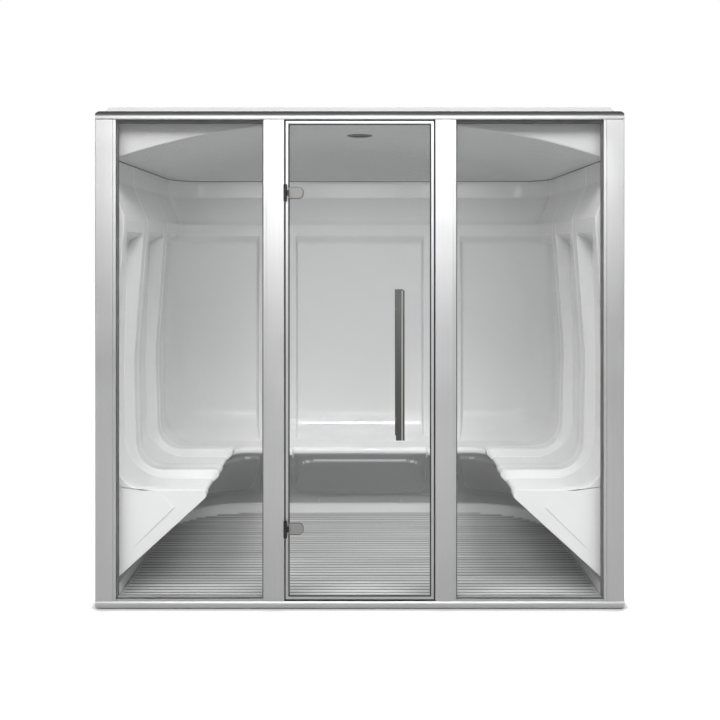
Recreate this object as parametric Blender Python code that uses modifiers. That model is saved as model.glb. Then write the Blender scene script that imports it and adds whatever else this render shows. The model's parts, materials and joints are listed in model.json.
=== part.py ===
"""Modular steam room: moulded liner with benches, vaulted ceiling, slatted floor, glazed front with a door.

Metres, +Z up, +X to the right, +Y into the cabin. The front faces -Y.
"""

import math

import bmesh
import bpy
import numpy as np
from mathutils import Matrix, Vector

# overall
FRONT_WIDTH = 2.372
FRONT_HEIGHT = 2.236
FIT = 0.0003

# aluminium front
FRAME_DEPTH = 0.0645
SILL_HEIGHT = 0.036
HEADER_HEIGHT = 0.040
RAIL_ROUND = 0.020
RAIL_END_CUT = 0.015
POST_WIDTH = 0.092
MULLION_WIDTH = 0.0945
MULLION_INNER = 0.3377
BEAD_WIDTH = 0.013
BEAD_STEP = 0.004
SILL_BEAD_HEIGHT = 0.009

# fixed glazing
PANE_THICKNESS = 0.008
PANE_SETBACK = 0.026
GASKET_WIDTH = 0.006
GASKET_TOP = 0.015
GASKET_DEPTH = 0.020
GASKET_BITE = 0.004

# door
DOOR_SIDE_GAP = 0.005
DOOR_BOTTOM_GAP = 0.007
DOOR_TOP_GAP = 0.006
EDGE_WIDTH = 0.012
EDGE_DEPTH = 0.0145
EDGE_LIP = 0.0025
EDGE_SETBACK = 0.0072
DOOR_GASKET_WIDTH = 0.006
SEAL_DEPTH = 0.003
STOP_DEPTH = 0.018
STOP_WIDTH = 0.017
LOWER_HINGE_RISE = 0.317
UPPER_HINGE_DROP = 0.323
HINGE_AXIS_X = -0.333
HINGE_AXIS_OUT = 0.0100
KNUCKLE_RADIUS = 0.0080
KNUCKLE_HEIGHT = 0.072
PIN_RADIUS = 0.0038
PIN_OVER = 0.005
LEAF_LEFT = -0.3192
LEAF_LENGTH = 0.065
LEAF_HEIGHT = 0.049
LEAF_THICKNESS = 0.0052
BRACKET_THICKNESS = 0.003
BRACKET_DEPTH = 0.020
HANDLE_X = 0.1795
HANDLE_WIDTH = 0.038
HANDLE_THICKNESS = 0.012
HANDLE_MIDDLE = 1.0994
HANDLE_LENGTH = 0.6645
HANDLE_STAND = 0.050
STUD_RADIUS = 0.010
STUD_INSET = 0.085

# liner
LINER_INSET = 0.046
FRONT_MODULE_LENGTH = 0.4672
BACK_MODULE_LENGTH = 0.489
CORNER_DEPTH = 0.573
CORNER_REACH = 0.633
SHELL = 0.008
FLANGE = 0.030
RIM = 0.044
JOINT_GAP = 0.0004
SEAM_DROP = 0.204
SEAM_HALF = 0.0015
TOE_Z = 0.0715
SIDE_FOOT_U = 0.030
SIDE_FOOT_Z = 0.110
REAR_FOOT_U = 0.090
REAR_FOOT_Z = 0.135
FOOT_RUN = 0.033
SIDE_SEAT_Z = 0.520
NICHE_SEAT_Z = 0.480
REAR_SEAT_DROP = 0.017
COVE_RADIUS = 0.135
NICHE_COVE_RADIUS = 0.225
CREST_HALF = 0.066
NICHE_FLANK = 0.016
REAR_CREST_WIDTH = 0.112
CORNER_CREST_WIDTH = 0.113
WALL_CORNER_RADIUS = 0.200
NOSE_RUN_SIDE = 0.005
NOSE_RUN_REAR = 0.023
SIDE_NOSE_U = 0.425
REAR_NOSE_U = 0.383

# backrest above the seat, shared by side and rear: u inward from the wall line, drop below the seam, radius
BACK_LOW_Z = 1.050
BACK_CURVE = 1.6
CREST_LOW_U = 0.018
NICHE_LOW_U = -0.028
CREST_BACK = ((0.062, 0.382, 0.0), (0.067, 0.335, 0.0))
NICHE_BACK = ((-0.010, 0.380, 0.0), (0.066, 0.335, 0.0))
SHOULDER = ((0.069, 0.270, 0.014), (0.0, 0.102, 0.030))
CREST_COVE_U = 0.033
NICHE_COVE_U = -0.022
SIDE_CREST_NOSE = (0.481, 0.025)
SIDE_NICHE_NOSE = (0.437, 0.014)
REAR_CREST_NOSE = (0.420, 0.025)
REAR_NICHE_NOSE = (0.374, 0.025)

# ceiling
CROWN_DROP = 0.066
CEILING_SPRING = 0.9535
CEILING_FLAT = 0.070
CEILING_COVE = 0.294
BROW_RISE = 0.024
BROW_INSET = 0.031
BROW_CORNER = 0.018
LAMP_FROM_FRONT = 0.586
LAMP_RADIUS = 0.066
LAMP_HOLE = 0.056
LAMP_LENS = 0.048
LAMP_HOUSING = 0.050

# floor
TRAY_BOTTOM = 0.0040
TRAY_FLOOR = 0.0085
TRAY_FRONT_WALL = 0.012
TRAY_FRONT_Z = 0.0200
FLOOR_Z = 0.0235
SLAT_PITCH = 0.0385
SLAT_WIDTH = 0.028
SLAT_THICKNESS = 0.009
GRATING_MARGIN = 0.004
BEARER_WIDTH = 0.022
BEARER_COUNT = 4
DRAIN_FROM_FRONT = 0.750
DRAIN_RADIUS = 0.050
DRAIN_SPIGOT = 0.024
DRAIN_WALL = 0.003
PAD_RADIUS = 0.030
FRONT_PAD_INSET = (0.120, 0.1552)
REAR_PAD_INSET = (0.240, 0.234)

# services and supports
NOZZLE_FROM_JOINT = 0.161
NOZZLE_U = 0.200
NOZZLE_RADIUS = 0.042
NOZZLE_THICKNESS = 0.022
PIPE_RADIUS = 0.013
SENSOR_FROM_JOINT = 0.048
SENSOR_DROP = 0.582
SENSOR_RADIUS = 0.018
SENSOR_THICKNESS = 0.012
RIB_THICKNESS = 0.012
RIB_INSET = 0.010
RIB_TOP_FIT = 0.0011
REAR_RIB_INSET = 0.145

# derived
HALF_WIDTH = FRONT_WIDTH / 2
GLASS_FRONT = EDGE_SETBACK + EDGE_LIP
HANDLE_FRONT = GLASS_FRONT - HANDLE_STAND - HANDLE_THICKNESS
LINER_HALF_WIDTH = HALF_WIDTH - LINER_INSET
REAR_SEAT_Z = NICHE_SEAT_Z - REAR_SEAT_DROP
LINER_FRONT = FRAME_DEPTH + FIT
SIDE_JOINT = LINER_FRONT + FRONT_MODULE_LENGTH
CORNER_JOINT = SIDE_JOINT + BACK_MODULE_LENGTH
LINER_REAR = CORNER_JOINT + CORNER_DEPTH
REAR_JOINT_X = LINER_HALF_WIDTH - CORNER_REACH
REAR_NICHE_HALF = REAR_JOINT_X - REAR_CREST_WIDTH
CORNER_NICHE_NEAR = REAR_JOINT_X + CORNER_CREST_WIDTH
FOOT_CORNER_RADIUS = CORNER_DEPTH - REAR_FOOT_U - FOOT_RUN
NOSE_RADIUS_X = CORNER_REACH - SIDE_NOSE_U - NOSE_RUN_REAR
NOSE_RADIUS_D = CORNER_DEPTH - REAR_NOSE_U - NOSE_RUN_SIDE
FRONT_Y = -(HANDLE_FRONT + LINER_REAR + RIM) / 2
OPENING_BOTTOM = SILL_HEIGHT
OPENING_TOP = FRONT_HEIGHT - HEADER_HEIGHT
DOOR_HALF = MULLION_INNER - DOOR_SIDE_GAP
DOOR_BOTTOM = OPENING_BOTTOM + DOOR_BOTTOM_GAP
DOOR_TOP = OPENING_TOP - DOOR_TOP_GAP
POST_INNER = HALF_WIDTH - POST_WIDTH
MULLION_OUTER = MULLION_INNER + MULLION_WIDTH
LOWER_HINGE_Z = DOOR_BOTTOM + LOWER_HINGE_RISE
UPPER_HINGE_Z = DOOR_TOP - UPPER_HINGE_DROP
HANDLE_BOTTOM = HANDLE_MIDDLE - HANDLE_LENGTH / 2
HANDLE_TOP = HANDLE_MIDDLE + HANDLE_LENGTH / 2
SEAM_Z = FRONT_HEIGHT - SEAM_DROP
WALL_TOP = SEAM_Z - SEAM_HALF
CEILING_LOW = SEAM_Z + SEAM_HALF
CEILING_TOP = FRONT_HEIGHT + BROW_RISE
CEILING_CROWN = CEILING_TOP - CROWN_DROP
CEILING_COVE_FROM = LINER_REAR - CEILING_COVE
BROW_HALF_WIDTH = HALF_WIDTH - BROW_INSET
NOZZLE_FROM_FRONT = CORNER_JOINT - NOZZLE_FROM_JOINT
SENSOR_X = -REAR_JOINT_X - SENSOR_FROM_JOINT
SENSOR_Z = SEAM_Z - SENSOR_DROP

ALONG_X = (math.pi / 2, 0, math.pi / 2)
FACING_FRONT = (math.pi / 2, 0, 0)

MATERIALS = {
    "aluminium": ((0.72, 0.72, 0.72), 0.34, 1.0),
    "acrylic": ((0.86, 0.86, 0.86), 0.16, 0.0),
    "glass": ((0.80, 0.84, 0.83), 0.03, 0.0),
    "rubber": ((0.045, 0.045, 0.047), 0.75, 0.0),
    "steel": ((0.56, 0.54, 0.52), 0.28, 1.0),
    "slats": ((0.50, 0.50, 0.50), 0.45, 0.0),
    "plastic": ((0.80, 0.80, 0.80), 0.40, 0.0),
    "diffuser": ((0.75, 0.75, 0.74), 0.30, 0.0),
    "zinc": ((0.60, 0.61, 0.62), 0.50, 1.0),
}

for stale in list(bpy.data.objects):
    bpy.data.objects.remove(stale, do_unlink=True)

room = bpy.data.collections.new("steam_room")
bpy.context.scene.collection.children.link(room)
cutters = bpy.data.collections.new("cutters")
bpy.context.scene.collection.children.link(cutters)


def depth(d):
    """World Y of a point this far behind the front face of the frame."""
    return FRONT_Y + d


def finish(obj, kind):
    """Links an object as a part with its own material, or as a hidden cutter where it has no kind."""
    if kind is None:
        cutters.objects.link(obj)
        obj.hide_render = True
        obj.display_type = "WIRE"
        return obj
    room.objects.link(obj)
    colour, rough, metal = MATERIALS[kind]
    material = bpy.data.materials.new(obj.name + "_" + kind)
    material.use_nodes = True
    shader = material.node_tree.nodes["Principled BSDF"]
    shader.inputs["Base Color"].default_value = (*colour, 1.0)
    shader.inputs["Roughness"].default_value = rough
    shader.inputs["Metallic"].default_value = metal
    obj.data.materials.append(material)
    return obj


def mesh_object(name, bm, kind, at=(0, 0, 0)):
    data = bpy.data.meshes.new(name)
    bm.to_mesh(data)
    bm.free()
    obj = bpy.data.objects.new(name, data)
    obj.location = at
    return finish(obj, kind)


def boxes(name, kind, *spans):
    """One object of plain blocks, each given by its low and high corner."""
    at = [(spans[0][0][k] + spans[0][1][k]) / 2 for k in range(3)]
    bm = bmesh.new()
    for lo, hi in spans:
        for vert in bmesh.ops.create_cube(bm, size=1.0)["verts"]:
            vert.co = [lo[k] - at[k] + (vert.co[k] + 0.5) * (hi[k] - lo[k]) for k in range(3)]
    return mesh_object(name, bm, kind, at)


def rod(name, kind, radius, low, high, at, segments=24, turn=(0, 0, 0)):
    """A round bar from low to high on its own Z axis, turned and then moved to at."""
    bm = bmesh.new()
    bmesh.ops.create_cone(
        bm, cap_ends=True, segments=segments, radius1=radius, radius2=radius, depth=high - low
    )
    for vert in bm.verts:
        vert.co.z += (low + high) / 2
    obj = mesh_object(name, bm, kind, at)
    obj.rotation_euler = turn
    return obj


def turned(name, kind, outline, at, steps=28, turn=(0, 0, 0)):
    """A solid of revolution round its own Z axis from (radius, height) points."""
    bm = bmesh.new()
    points = [bm.verts.new((r, 0, z)) for r, z in reversed(outline)]
    for first, second in zip(points, points[1:]):
        bm.edges.new((first, second))
    obj = mesh_object(name, bm, kind, at)
    obj.rotation_euler = turn
    screw = obj.modifiers.new("turn", "SCREW")
    screw.axis = "Z"
    screw.steps = steps
    screw.render_steps = steps
    screw.use_merge_vertices = True
    screw.merge_threshold = 0.00005
    return obj


def plate(name, kind, outline, thickness, at, turn=(0, 0, 0)):
    """A flat outline in its own XY plane, with its thickness centred on it."""
    data = bpy.data.curves.new(name, "CURVE")
    data.dimensions = "2D"
    data.fill_mode = "BOTH"
    data.extrude = thickness / 2
    line = data.splines.new("POLY")
    line.points.add(len(outline) - 1)
    for point, (x, y) in zip(line.points, outline):
        point.co = (x, y, 0, 1)
    line.use_cyclic_u = True
    obj = bpy.data.objects.new(name, data)
    obj.location = at
    obj.rotation_euler = turn
    return finish(obj, kind)


def prism(name, kind, outline, low, high, at=(0, 0, 0), turn=(0, 0, 0)):
    """A flat outline drawn out from low to high on its own Z axis, as a mesh that Booleans take."""
    bm = bmesh.new()
    ends = []
    for level in (low, high):
        verts = [bm.verts.new((x, y, level)) for x, y in outline]
        ends.append([bm.edges.new((verts[k - 1], verts[k])) for k in range(len(verts))])
    bmesh.ops.bridge_loops(bm, edges=ends[0] + ends[1])
    for end in ends:
        bmesh.ops.edgeloop_fill(bm, edges=end)
    bmesh.ops.recalc_face_normals(bm, faces=list(bm.faces))
    obj = mesh_object(name, bm, kind, at)
    obj.rotation_euler = turn
    return obj


def cut(obj, cutter, operation="DIFFERENCE"):
    boolean = obj.modifiers.new(cutter.name, "BOOLEAN")
    boolean.operation = operation
    boolean.solver = "EXACT"
    boolean.object = cutter
    return obj


# sill and header: one section, rounded at its outer front edge, the header turned over
def rail(name, sign, height, middle_z):
    half = height / 2
    points = [(FRAME_DEPTH, -half), (FRAME_DEPTH, half), (0.003, half), (0.0, half - 0.003)]
    for k in range(7):
        angle = math.pi / 2 * k / 6
        points.append((RAIL_ROUND * (1 - math.cos(angle)), -half + RAIL_ROUND * (1 - math.sin(angle))))
    outline = [(y, z * sign) for y, z in points]
    at = (0, depth(0), middle_z)
    bar = prism(name, "aluminium", outline, -HALF_WIDTH, HALF_WIDTH, at, ALONG_X)
    bm = bmesh.new()
    for side in (-1, 1):
        made = bmesh.ops.create_cube(bm, size=1.0)["verts"]
        for vert in made:
            x, y, z = vert.co
            vert.co = (x * 2 * RAIL_END_CUT, y * 3 * FRAME_DEPTH, z * 4 * RAIL_END_CUT)
        lean = Matrix.Rotation(side * sign * math.pi / 4, 3, "Y")
        bmesh.ops.rotate(bm, verts=made, cent=(0, 0, 0), matrix=lean)
        out = RAIL_END_CUT * (math.sqrt(2) - 1) + RAIL_END_CUT * 0.5
        for vert in made:
            vert.co.x += side * (HALF_WIDTH + out * 0.34)
            vert.co.z -= sign * (half + out * 0.34)
    return cut(bar, mesh_object(name + "_end_cuts", bm, None, at))


rail("sill", 1, SILL_HEIGHT, SILL_HEIGHT / 2)
rail("header", -1, HEADER_HEIGHT, FRONT_HEIGHT - HEADER_HEIGHT / 2)


# posts and mullions: a flat face with a stepped glazing bead at the pane's side
def upright(name, plain, glazed):
    side = 1 if glazed > plain else -1
    width = abs(glazed - plain)
    points = [
        (0.0, 0.003),
        (0.001, 0.001),
        (0.003, 0.0),
        (width - BEAD_WIDTH, 0.0),
        (width - BEAD_WIDTH, BEAD_STEP),
        (width, BEAD_STEP),
        (width, FRAME_DEPTH),
        (0.0, FRAME_DEPTH),
    ]
    height = OPENING_TOP - OPENING_BOTTOM - 2 * FIT
    middle = (OPENING_TOP + OPENING_BOTTOM) / 2
    plate(name, "aluminium", [(side * x, y) for x, y in points], height, (plain, depth(0), middle))


upright("left_post", -HALF_WIDTH, -POST_INNER)
upright("right_post", HALF_WIDTH, POST_INNER)
upright("left_mullion", -MULLION_INNER, -MULLION_OUTER)
upright("right_mullion", MULLION_INNER, MULLION_OUTER)


# fixed panes, each on a sill bead and in a grooved gasket
def ring(name, kind, lo, hi, width, top=None):
    """An upright rectangular ring from its outer low and high corners and the width of its sides."""
    hole_lo = (lo[0] + width, lo[1] - 0.01, lo[2] + width)
    hole_hi = (hi[0] - width, hi[1] + 0.01, hi[2] - (top or width))
    return cut(boxes(name, kind, (lo, hi)), boxes(name + "_hole", None, (hole_lo, hole_hi)))


def grown(lo, hi):
    """A block larger by the fit on every side."""
    return [c - FIT for c in lo], [c + FIT for c in hi]


def fixed_pane(side, left, right):
    bead_top = OPENING_BOTTOM + FIT + SILL_BEAD_HEIGHT
    boxes(
        side + "_sill_bead",
        "aluminium",
        ((left + FIT, depth(BEAD_STEP), OPENING_BOTTOM + FIT), (right - FIT, depth(FRAME_DEPTH), bead_top)),
    )
    near = PANE_SETBACK + PANE_THICKNESS / 2 - GASKET_DEPTH / 2
    lo = (left + FIT, depth(near), bead_top + FIT)
    hi = (right - FIT, depth(near + GASKET_DEPTH), OPENING_TOP - FIT)
    gasket = ring(side + "_pane_gasket", "rubber", lo, hi, GASKET_WIDTH, GASKET_TOP)
    edge = GASKET_WIDTH - GASKET_BITE
    pane_lo = (lo[0] + edge, depth(PANE_SETBACK), lo[2] + edge)
    pane_hi = (hi[0] - edge, depth(PANE_SETBACK + PANE_THICKNESS), hi[2] - GASKET_TOP + GASKET_BITE)
    boxes(side + "_pane", "glass", (pane_lo, pane_hi))
    cut(gasket, boxes(side + "_pane_groove", None, grown(pane_lo, pane_hi)))


fixed_pane("left", -POST_INNER, -MULLION_OUTER)
fixed_pane("right", MULLION_OUTER, POST_INNER)

# door leaf: glass in a slim channel, hung from pins at the left
hinge_at = Vector((HINGE_AXIS_X, depth(-HINGE_AXIS_OUT), 0.0))
door_pivot = bpy.data.objects.new("door_pivot", None)
door_pivot.location = hinge_at
room.objects.link(door_pivot)


def on_door(obj):
    """Hangs the piece on the door's hinge axis where it stands."""
    obj.location = obj.location - hinge_at
    obj.parent = door_pivot
    return obj


edge_lo = (-DOOR_HALF, depth(EDGE_SETBACK), DOOR_BOTTOM)
edge_hi = (DOOR_HALF, depth(EDGE_SETBACK + EDGE_DEPTH), DOOR_TOP)
door_edge = ring("door_edge_profile", "aluminium", edge_lo, edge_hi, EDGE_WIDTH)
glass_lo = (-DOOR_HALF + EDGE_WIDTH / 2, depth(GLASS_FRONT), DOOR_BOTTOM + EDGE_WIDTH / 2)
glass_hi = (DOOR_HALF - EDGE_WIDTH / 2, depth(GLASS_FRONT + PANE_THICKNESS), DOOR_TOP - EDGE_WIDTH / 2)
on_door(cut(door_edge, boxes("door_edge_groove", None, grown(glass_lo, glass_hi))))
on_door(
    ring(
        "door_gasket",
        "rubber",
        (-DOOR_HALF + EDGE_WIDTH + FIT, depth(EDGE_SETBACK + 0.0005), DOOR_BOTTOM + EDGE_WIDTH + FIT),
        (DOOR_HALF - EDGE_WIDTH - FIT, depth(GLASS_FRONT - FIT), DOOR_TOP - EDGE_WIDTH - FIT),
        DOOR_GASKET_WIDTH,
    )
)
door_glass = boxes("door_glass", "glass", (glass_lo, glass_hi))

# pull bars joined through the glass
glass_middle = depth(GLASS_FRONT + PANE_THICKNESS / 2)
for level, stud_z in (("lower", HANDLE_BOTTOM + STUD_INSET), ("upper", HANDLE_TOP - STUD_INSET)):
    at = (HANDLE_X, glass_middle, stud_z)
    reach = HANDLE_STAND + PANE_THICKNESS / 2 - FIT
    on_door(rod(level + "_handle_stud", "steel", STUD_RADIUS, -reach, reach, at, turn=FACING_FRONT))
    hole = rod(level + "_stud_hole", None, STUD_RADIUS + FIT, -0.02, 0.02, at, turn=FACING_FRONT)
    cut(door_glass, hole)
on_door(door_glass)
inner_front = GLASS_FRONT + PANE_THICKNESS + HANDLE_STAND
for name, near in (("outer_handle", HANDLE_FRONT), ("inner_handle", inner_front)):
    lo = (HANDLE_X - HANDLE_WIDTH / 2, depth(near), HANDLE_BOTTOM)
    hi = (HANDLE_X + HANDLE_WIDTH / 2, depth(near + HANDLE_THICKNESS), HANDLE_TOP)
    bar = boxes(name, "steel", (lo, hi))
    soften = bar.modifiers.new("edges", "BEVEL")
    soften.width = 0.0025
    soften.segments = 2
    on_door(bar)


# hinges: bracket in the gap at the mullion, leaf outside the glass, clamp inside it
def d_outline(length, height):
    """A plate with a straight left side and round right corners."""
    radius = height * 0.40
    points = [(0.0, -height / 2)]
    for sign, first in ((-1, -math.pi / 2), (1, 0.0)):
        for k in range(7):
            angle = first + math.pi / 2 * k / 6
            x = length - radius + radius * math.cos(angle)
            points.append((x, sign * (height / 2 - radius) + radius * math.sin(angle)))
    points.append((0.0, height / 2))
    return points


LEAF_BACK = EDGE_SETBACK - FIT
for level, hinge_z in (("lower", LOWER_HINGE_Z), ("upper", UPPER_HINGE_Z)):
    axis = (HINGE_AXIS_X, depth(-HINGE_AXIS_OUT), hinge_z)
    half = KNUCKLE_HEIGHT / 2
    sixth = KNUCKLE_HEIGHT / 6
    bore = rod(level + "_hinge_bore", None, PIN_RADIUS + FIT, -half * 2, half * 2, axis, 16)

    bracket_lo = (-MULLION_INNER + FIT, depth(-HINGE_AXIS_OUT), hinge_z - half)
    bracket_hi = (-MULLION_INNER + FIT + BRACKET_THICKNESS, depth(BRACKET_DEPTH), hinge_z + half)
    bracket = boxes(level + "_hinge_bracket", "steel", (bracket_lo, bracket_hi))
    cut(bracket, rod(level + "_knuckle_pair", None, KNUCKLE_RADIUS, -half, half, axis, 20), "UNION")
    gap_lo = (HINGE_AXIS_X - 0.03, depth(-HINGE_AXIS_OUT - 0.03), hinge_z - sixth - FIT)
    gap_hi = (HINGE_AXIS_X + 0.03, depth(0.0), hinge_z + sixth + FIT)
    cut(bracket, boxes(level + "_bracket_gap", None, (gap_lo, gap_hi)))
    cut(bracket, bore)

    leaf_at = (LEAF_LEFT, depth(LEAF_BACK), hinge_z)
    outline = d_outline(LEAF_LENGTH, LEAF_HEIGHT)
    leaf = prism(level + "_hinge_leaf", "steel", outline, 0.0, LEAF_THICKNESS, leaf_at, FACING_FRONT)
    arm_lo = (HINGE_AXIS_X, depth(-HINGE_AXIS_OUT), hinge_z - sixth + FIT)
    arm_hi = (LEAF_LEFT + 0.004, depth(LEAF_BACK - 0.0005), hinge_z + sixth - FIT)
    cut(leaf, boxes(level + "_leaf_arm", None, (arm_lo, arm_hi)), "UNION")
    middle = rod(level + "_leaf_knuckle", None, KNUCKLE_RADIUS, -sixth + FIT, sixth - FIT, axis, 20)
    cut(leaf, middle, "UNION")
    boss_lo = (LEAF_LEFT + 0.008, depth(LEAF_BACK - 0.002), hinge_z - LEAF_HEIGHT * 0.35)
    boss_hi = (LEAF_LEFT + LEAF_LENGTH * 0.8, depth(GLASS_FRONT - FIT), hinge_z + LEAF_HEIGHT * 0.35)
    cut(leaf, boxes(level + "_leaf_boss", None, (boss_lo, boss_hi)), "UNION")
    cut(leaf, bore)
    on_door(leaf)

    clamp_back = depth(GLASS_FRONT + PANE_THICKNESS + FIT + LEAF_THICKNESS / 2)
    clamp_at = (LEAF_LEFT + 0.008, clamp_back, hinge_z)
    on_door(
        plate(
            level + "_hinge_clamp",
            "steel",
            d_outline(LEAF_LENGTH - 0.008, LEAF_HEIGHT),
            LEAF_THICKNESS,
            clamp_at,
            FACING_FRONT,
        )
    )
    pin = rod(level + "_hinge_pin", "steel", PIN_RADIUS, -half - PIN_OVER, half + PIN_OVER, axis, 16)
    tips = pin.modifiers.new("tips", "BEVEL")
    tips.width = 0.0018
    tips.segments = 2
    tips.limit_method = "ANGLE"
    tips.angle_limit = math.radians(60)

# door seal and stop behind the leaf's edge
behind = EDGE_SETBACK + EDGE_DEPTH + FIT
for name, kind, length, width in (
    ("door_seal", "rubber", SEAL_DEPTH, STOP_WIDTH - 0.002),
    ("door_stop_frame", "aluminium", STOP_DEPTH, STOP_WIDTH),
):
    lo = (-MULLION_INNER + FIT, depth(behind), OPENING_BOTTOM + FIT)
    hi = (MULLION_INNER - FIT, depth(behind + length), OPENING_TOP - FIT)
    ring(name, kind, lo, hi, width)
    behind += length + FIT


# liner sections: crest and niche, side and rear share their corners, so every station has the same points
def section_corners(foot, nose, seat_z, cove_u, cove_radius, low_u, back):
    """Corners as u, z, radius and the count of points on the corner."""
    upper = [(u, SEAM_Z - drop, radius) for u, drop, radius in (*back, *SHOULDER)]
    return [
        (foot[0], TOE_Z, 0.0, 1),
        (foot[0], foot[1], 0.012, 2),
        (nose[0], seat_z, nose[1], 5),
        (cove_u, seat_z, cove_radius, 6),
        (low_u, BACK_LOW_Z, BACK_CURVE, 3),
        *[(*corner, 2 if corner[2] else 1) for corner in upper],
        (0.0, WALL_TOP, 0.0, 1),
        (-RIM, WALL_TOP, 0.0, 1),
    ]


SIDE_FOOT = (SIDE_FOOT_U, SIDE_FOOT_Z)
REAR_FOOT = (REAR_FOOT_U, REAR_FOOT_Z)
SIDE_CREST = section_corners(
    SIDE_FOOT, SIDE_CREST_NOSE, SIDE_SEAT_Z, CREST_COVE_U, COVE_RADIUS, CREST_LOW_U, CREST_BACK
)
SIDE_NICHE = section_corners(
    SIDE_FOOT, SIDE_NICHE_NOSE, NICHE_SEAT_Z, NICHE_COVE_U, NICHE_COVE_RADIUS, NICHE_LOW_U, NICHE_BACK
)
REAR_CREST = section_corners(
    REAR_FOOT, REAR_CREST_NOSE, REAR_SEAT_Z, CREST_COVE_U, COVE_RADIUS, CREST_LOW_U, CREST_BACK
)
REAR_NICHE = section_corners(
    REAR_FOOT, REAR_NICHE_NOSE, REAR_SEAT_Z, NICHE_COVE_U, NICHE_COVE_RADIUS, NICHE_LOW_U, NICHE_BACK
)


def mixed(first, second, share):
    """Corners part of the way from one section to another."""
    return [
        (*(a + share * (b - a) for a, b in zip(one[:3], two[:3])), one[3])
        for one, two in zip(first, second)
    ]


def rounded(chain):
    """The section's points, with each corner turned into an arc of its radius."""
    points = []
    for k, (u, z, radius, count) in enumerate(chain):
        here = np.array((u, z))
        if count == 1:
            points.append(here)
            continue
        before = np.array(chain[k - 1][:2]) - here
        after = np.array(chain[k + 1][:2]) - here
        before_dir = before / np.linalg.norm(before)
        after_dir = after / np.linalg.norm(after)
        half = math.acos(np.clip(before_dir @ after_dir, -1, 1)) / 2
        reach = min(radius / math.tan(half), 0.45 * min(np.linalg.norm(before), np.linalg.norm(after)))
        radius = reach * math.tan(half)
        middle = before_dir + after_dir
        centre = here + middle / np.linalg.norm(middle) * radius / math.sin(half)
        start = here + before_dir * reach - centre
        end = here + after_dir * reach - centre
        sweep = math.pi - 2 * half
        for step in range(count):
            share = step / (count - 1)
            arm = math.sin((1 - share) * sweep) * start + math.sin(share * sweep) * end
            points.append(centre + arm / math.sin(sweep))
    return np.array(points)


def flange_of(section):
    """The section moved out of the cabin by the flange's depth."""
    moved = np.empty_like(section)
    for k in range(len(section)):
        normal = np.zeros(2)
        for step in (
            section[min(k + 1, len(section) - 1)] - section[k],
            section[k] - section[max(k - 1, 0)],
        ):
            length = np.linalg.norm(step)
            if length > 0:
                normal += np.array((-step[1], step[0])) / length
        moved[k] = section[k] + normal / np.linalg.norm(normal) * FLANGE
    moved[:, 0] = np.maximum(moved[:, 0], -RIM)
    moved[:2, 1] = section[:2, 1]
    return moved


def end_fill(section):
    """The edge that closes a module's front end: straight up the outside of the wall."""
    share = np.linspace(0, 1, len(section))
    bench = TOE_Z + share * 0.9
    rise = np.where(section[:, 0] > SIDE_FOOT_U + 0.03, bench, section[:, 1])
    rise[section[:, 1] > SIDE_SEAT_Z + COVE_RADIUS] = section[section[:, 1] > SIDE_SEAT_Z + COVE_RADIUS, 1]
    rise = np.maximum.accumulate(np.clip(rise, TOE_Z, WALL_TOP))
    return np.stack([np.full(len(section), -RIM), rise], axis=1)


def foot_inside(x, d):
    """Whether a plan point lies inside the line of the bench foot."""
    radius = FOOT_CORNER_RADIUS
    over_x = abs(x) - (LINER_HALF_WIDTH - SIDE_FOOT_U - radius)
    over_d = d - (LINER_REAR - REAR_FOOT_U - radius)
    if over_x > 0 and over_d > 0:
        return math.hypot(over_x, over_d) < radius
    return max(over_x, over_d) < radius


CORNER_FIRST = LINER_REAR - WALL_CORNER_RADIUS - CORNER_JOINT
CORNER_ARC = WALL_CORNER_RADIUS * math.pi / 2
CORNER_LAST = LINER_HALF_WIDTH - WALL_CORNER_RADIUS - REAR_JOINT_X
CORNER_RUN = CORNER_FIRST + CORNER_ARC + CORNER_LAST
NOSE_CENTRE_X = LINER_HALF_WIDTH - SIDE_NOSE_U - NOSE_RADIUS_X
NOSE_CENTRE_D = LINER_REAR - REAR_NOSE_U - NOSE_RADIUS_D
NOSE_ARC = (NOSE_RADIUS_X + NOSE_RADIUS_D) / 2 * math.pi / 2


def side_station(d):
    """Wall point, direction towards the aisle and scale of a section square to the left wall."""
    return np.array((-LINER_HALF_WIDTH, d)), np.array((1.0, 0.0)), 1.0


def rear_station(x):
    return np.array((x, LINER_REAR)), np.array((0.0, -1.0)), 1.0


def corner_station(share):
    """A section that swings round the left rear corner, from the side joint at 0 to the rear joint at 1."""
    run = share * CORNER_RUN
    radius = WALL_CORNER_RADIUS
    if run < CORNER_FIRST:
        wall = (-LINER_HALF_WIDTH, CORNER_JOINT + run)
    elif run < CORNER_FIRST + CORNER_ARC:
        angle = (run - CORNER_FIRST) / radius
        wall = (
            -LINER_HALF_WIDTH + radius * (1 - math.cos(angle)),
            LINER_REAR - radius * (1 - math.sin(angle)),
        )
    else:
        wall = (-REAR_JOINT_X - CORNER_RUN + run, LINER_REAR)
    along = share * (NOSE_RUN_SIDE + NOSE_ARC + NOSE_RUN_REAR)
    angle = math.pi / 2 * min(max(along - NOSE_RUN_SIDE, 0.0) / NOSE_ARC, 1.0)
    nose = (
        -NOSE_CENTRE_X - NOSE_RADIUS_X * math.cos(angle) + max(0.0, along - NOSE_RUN_SIDE - NOSE_ARC),
        NOSE_CENTRE_D + NOSE_RADIUS_D * math.sin(angle) - max(0.0, NOSE_RUN_SIDE - along),
    )
    ray = np.array(nose) - np.array(wall)
    length = np.linalg.norm(ray)
    return np.array(wall), ray / length, length / (SIDE_NOSE_U + share * (REAR_NOSE_U - SIDE_NOSE_U))


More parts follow.
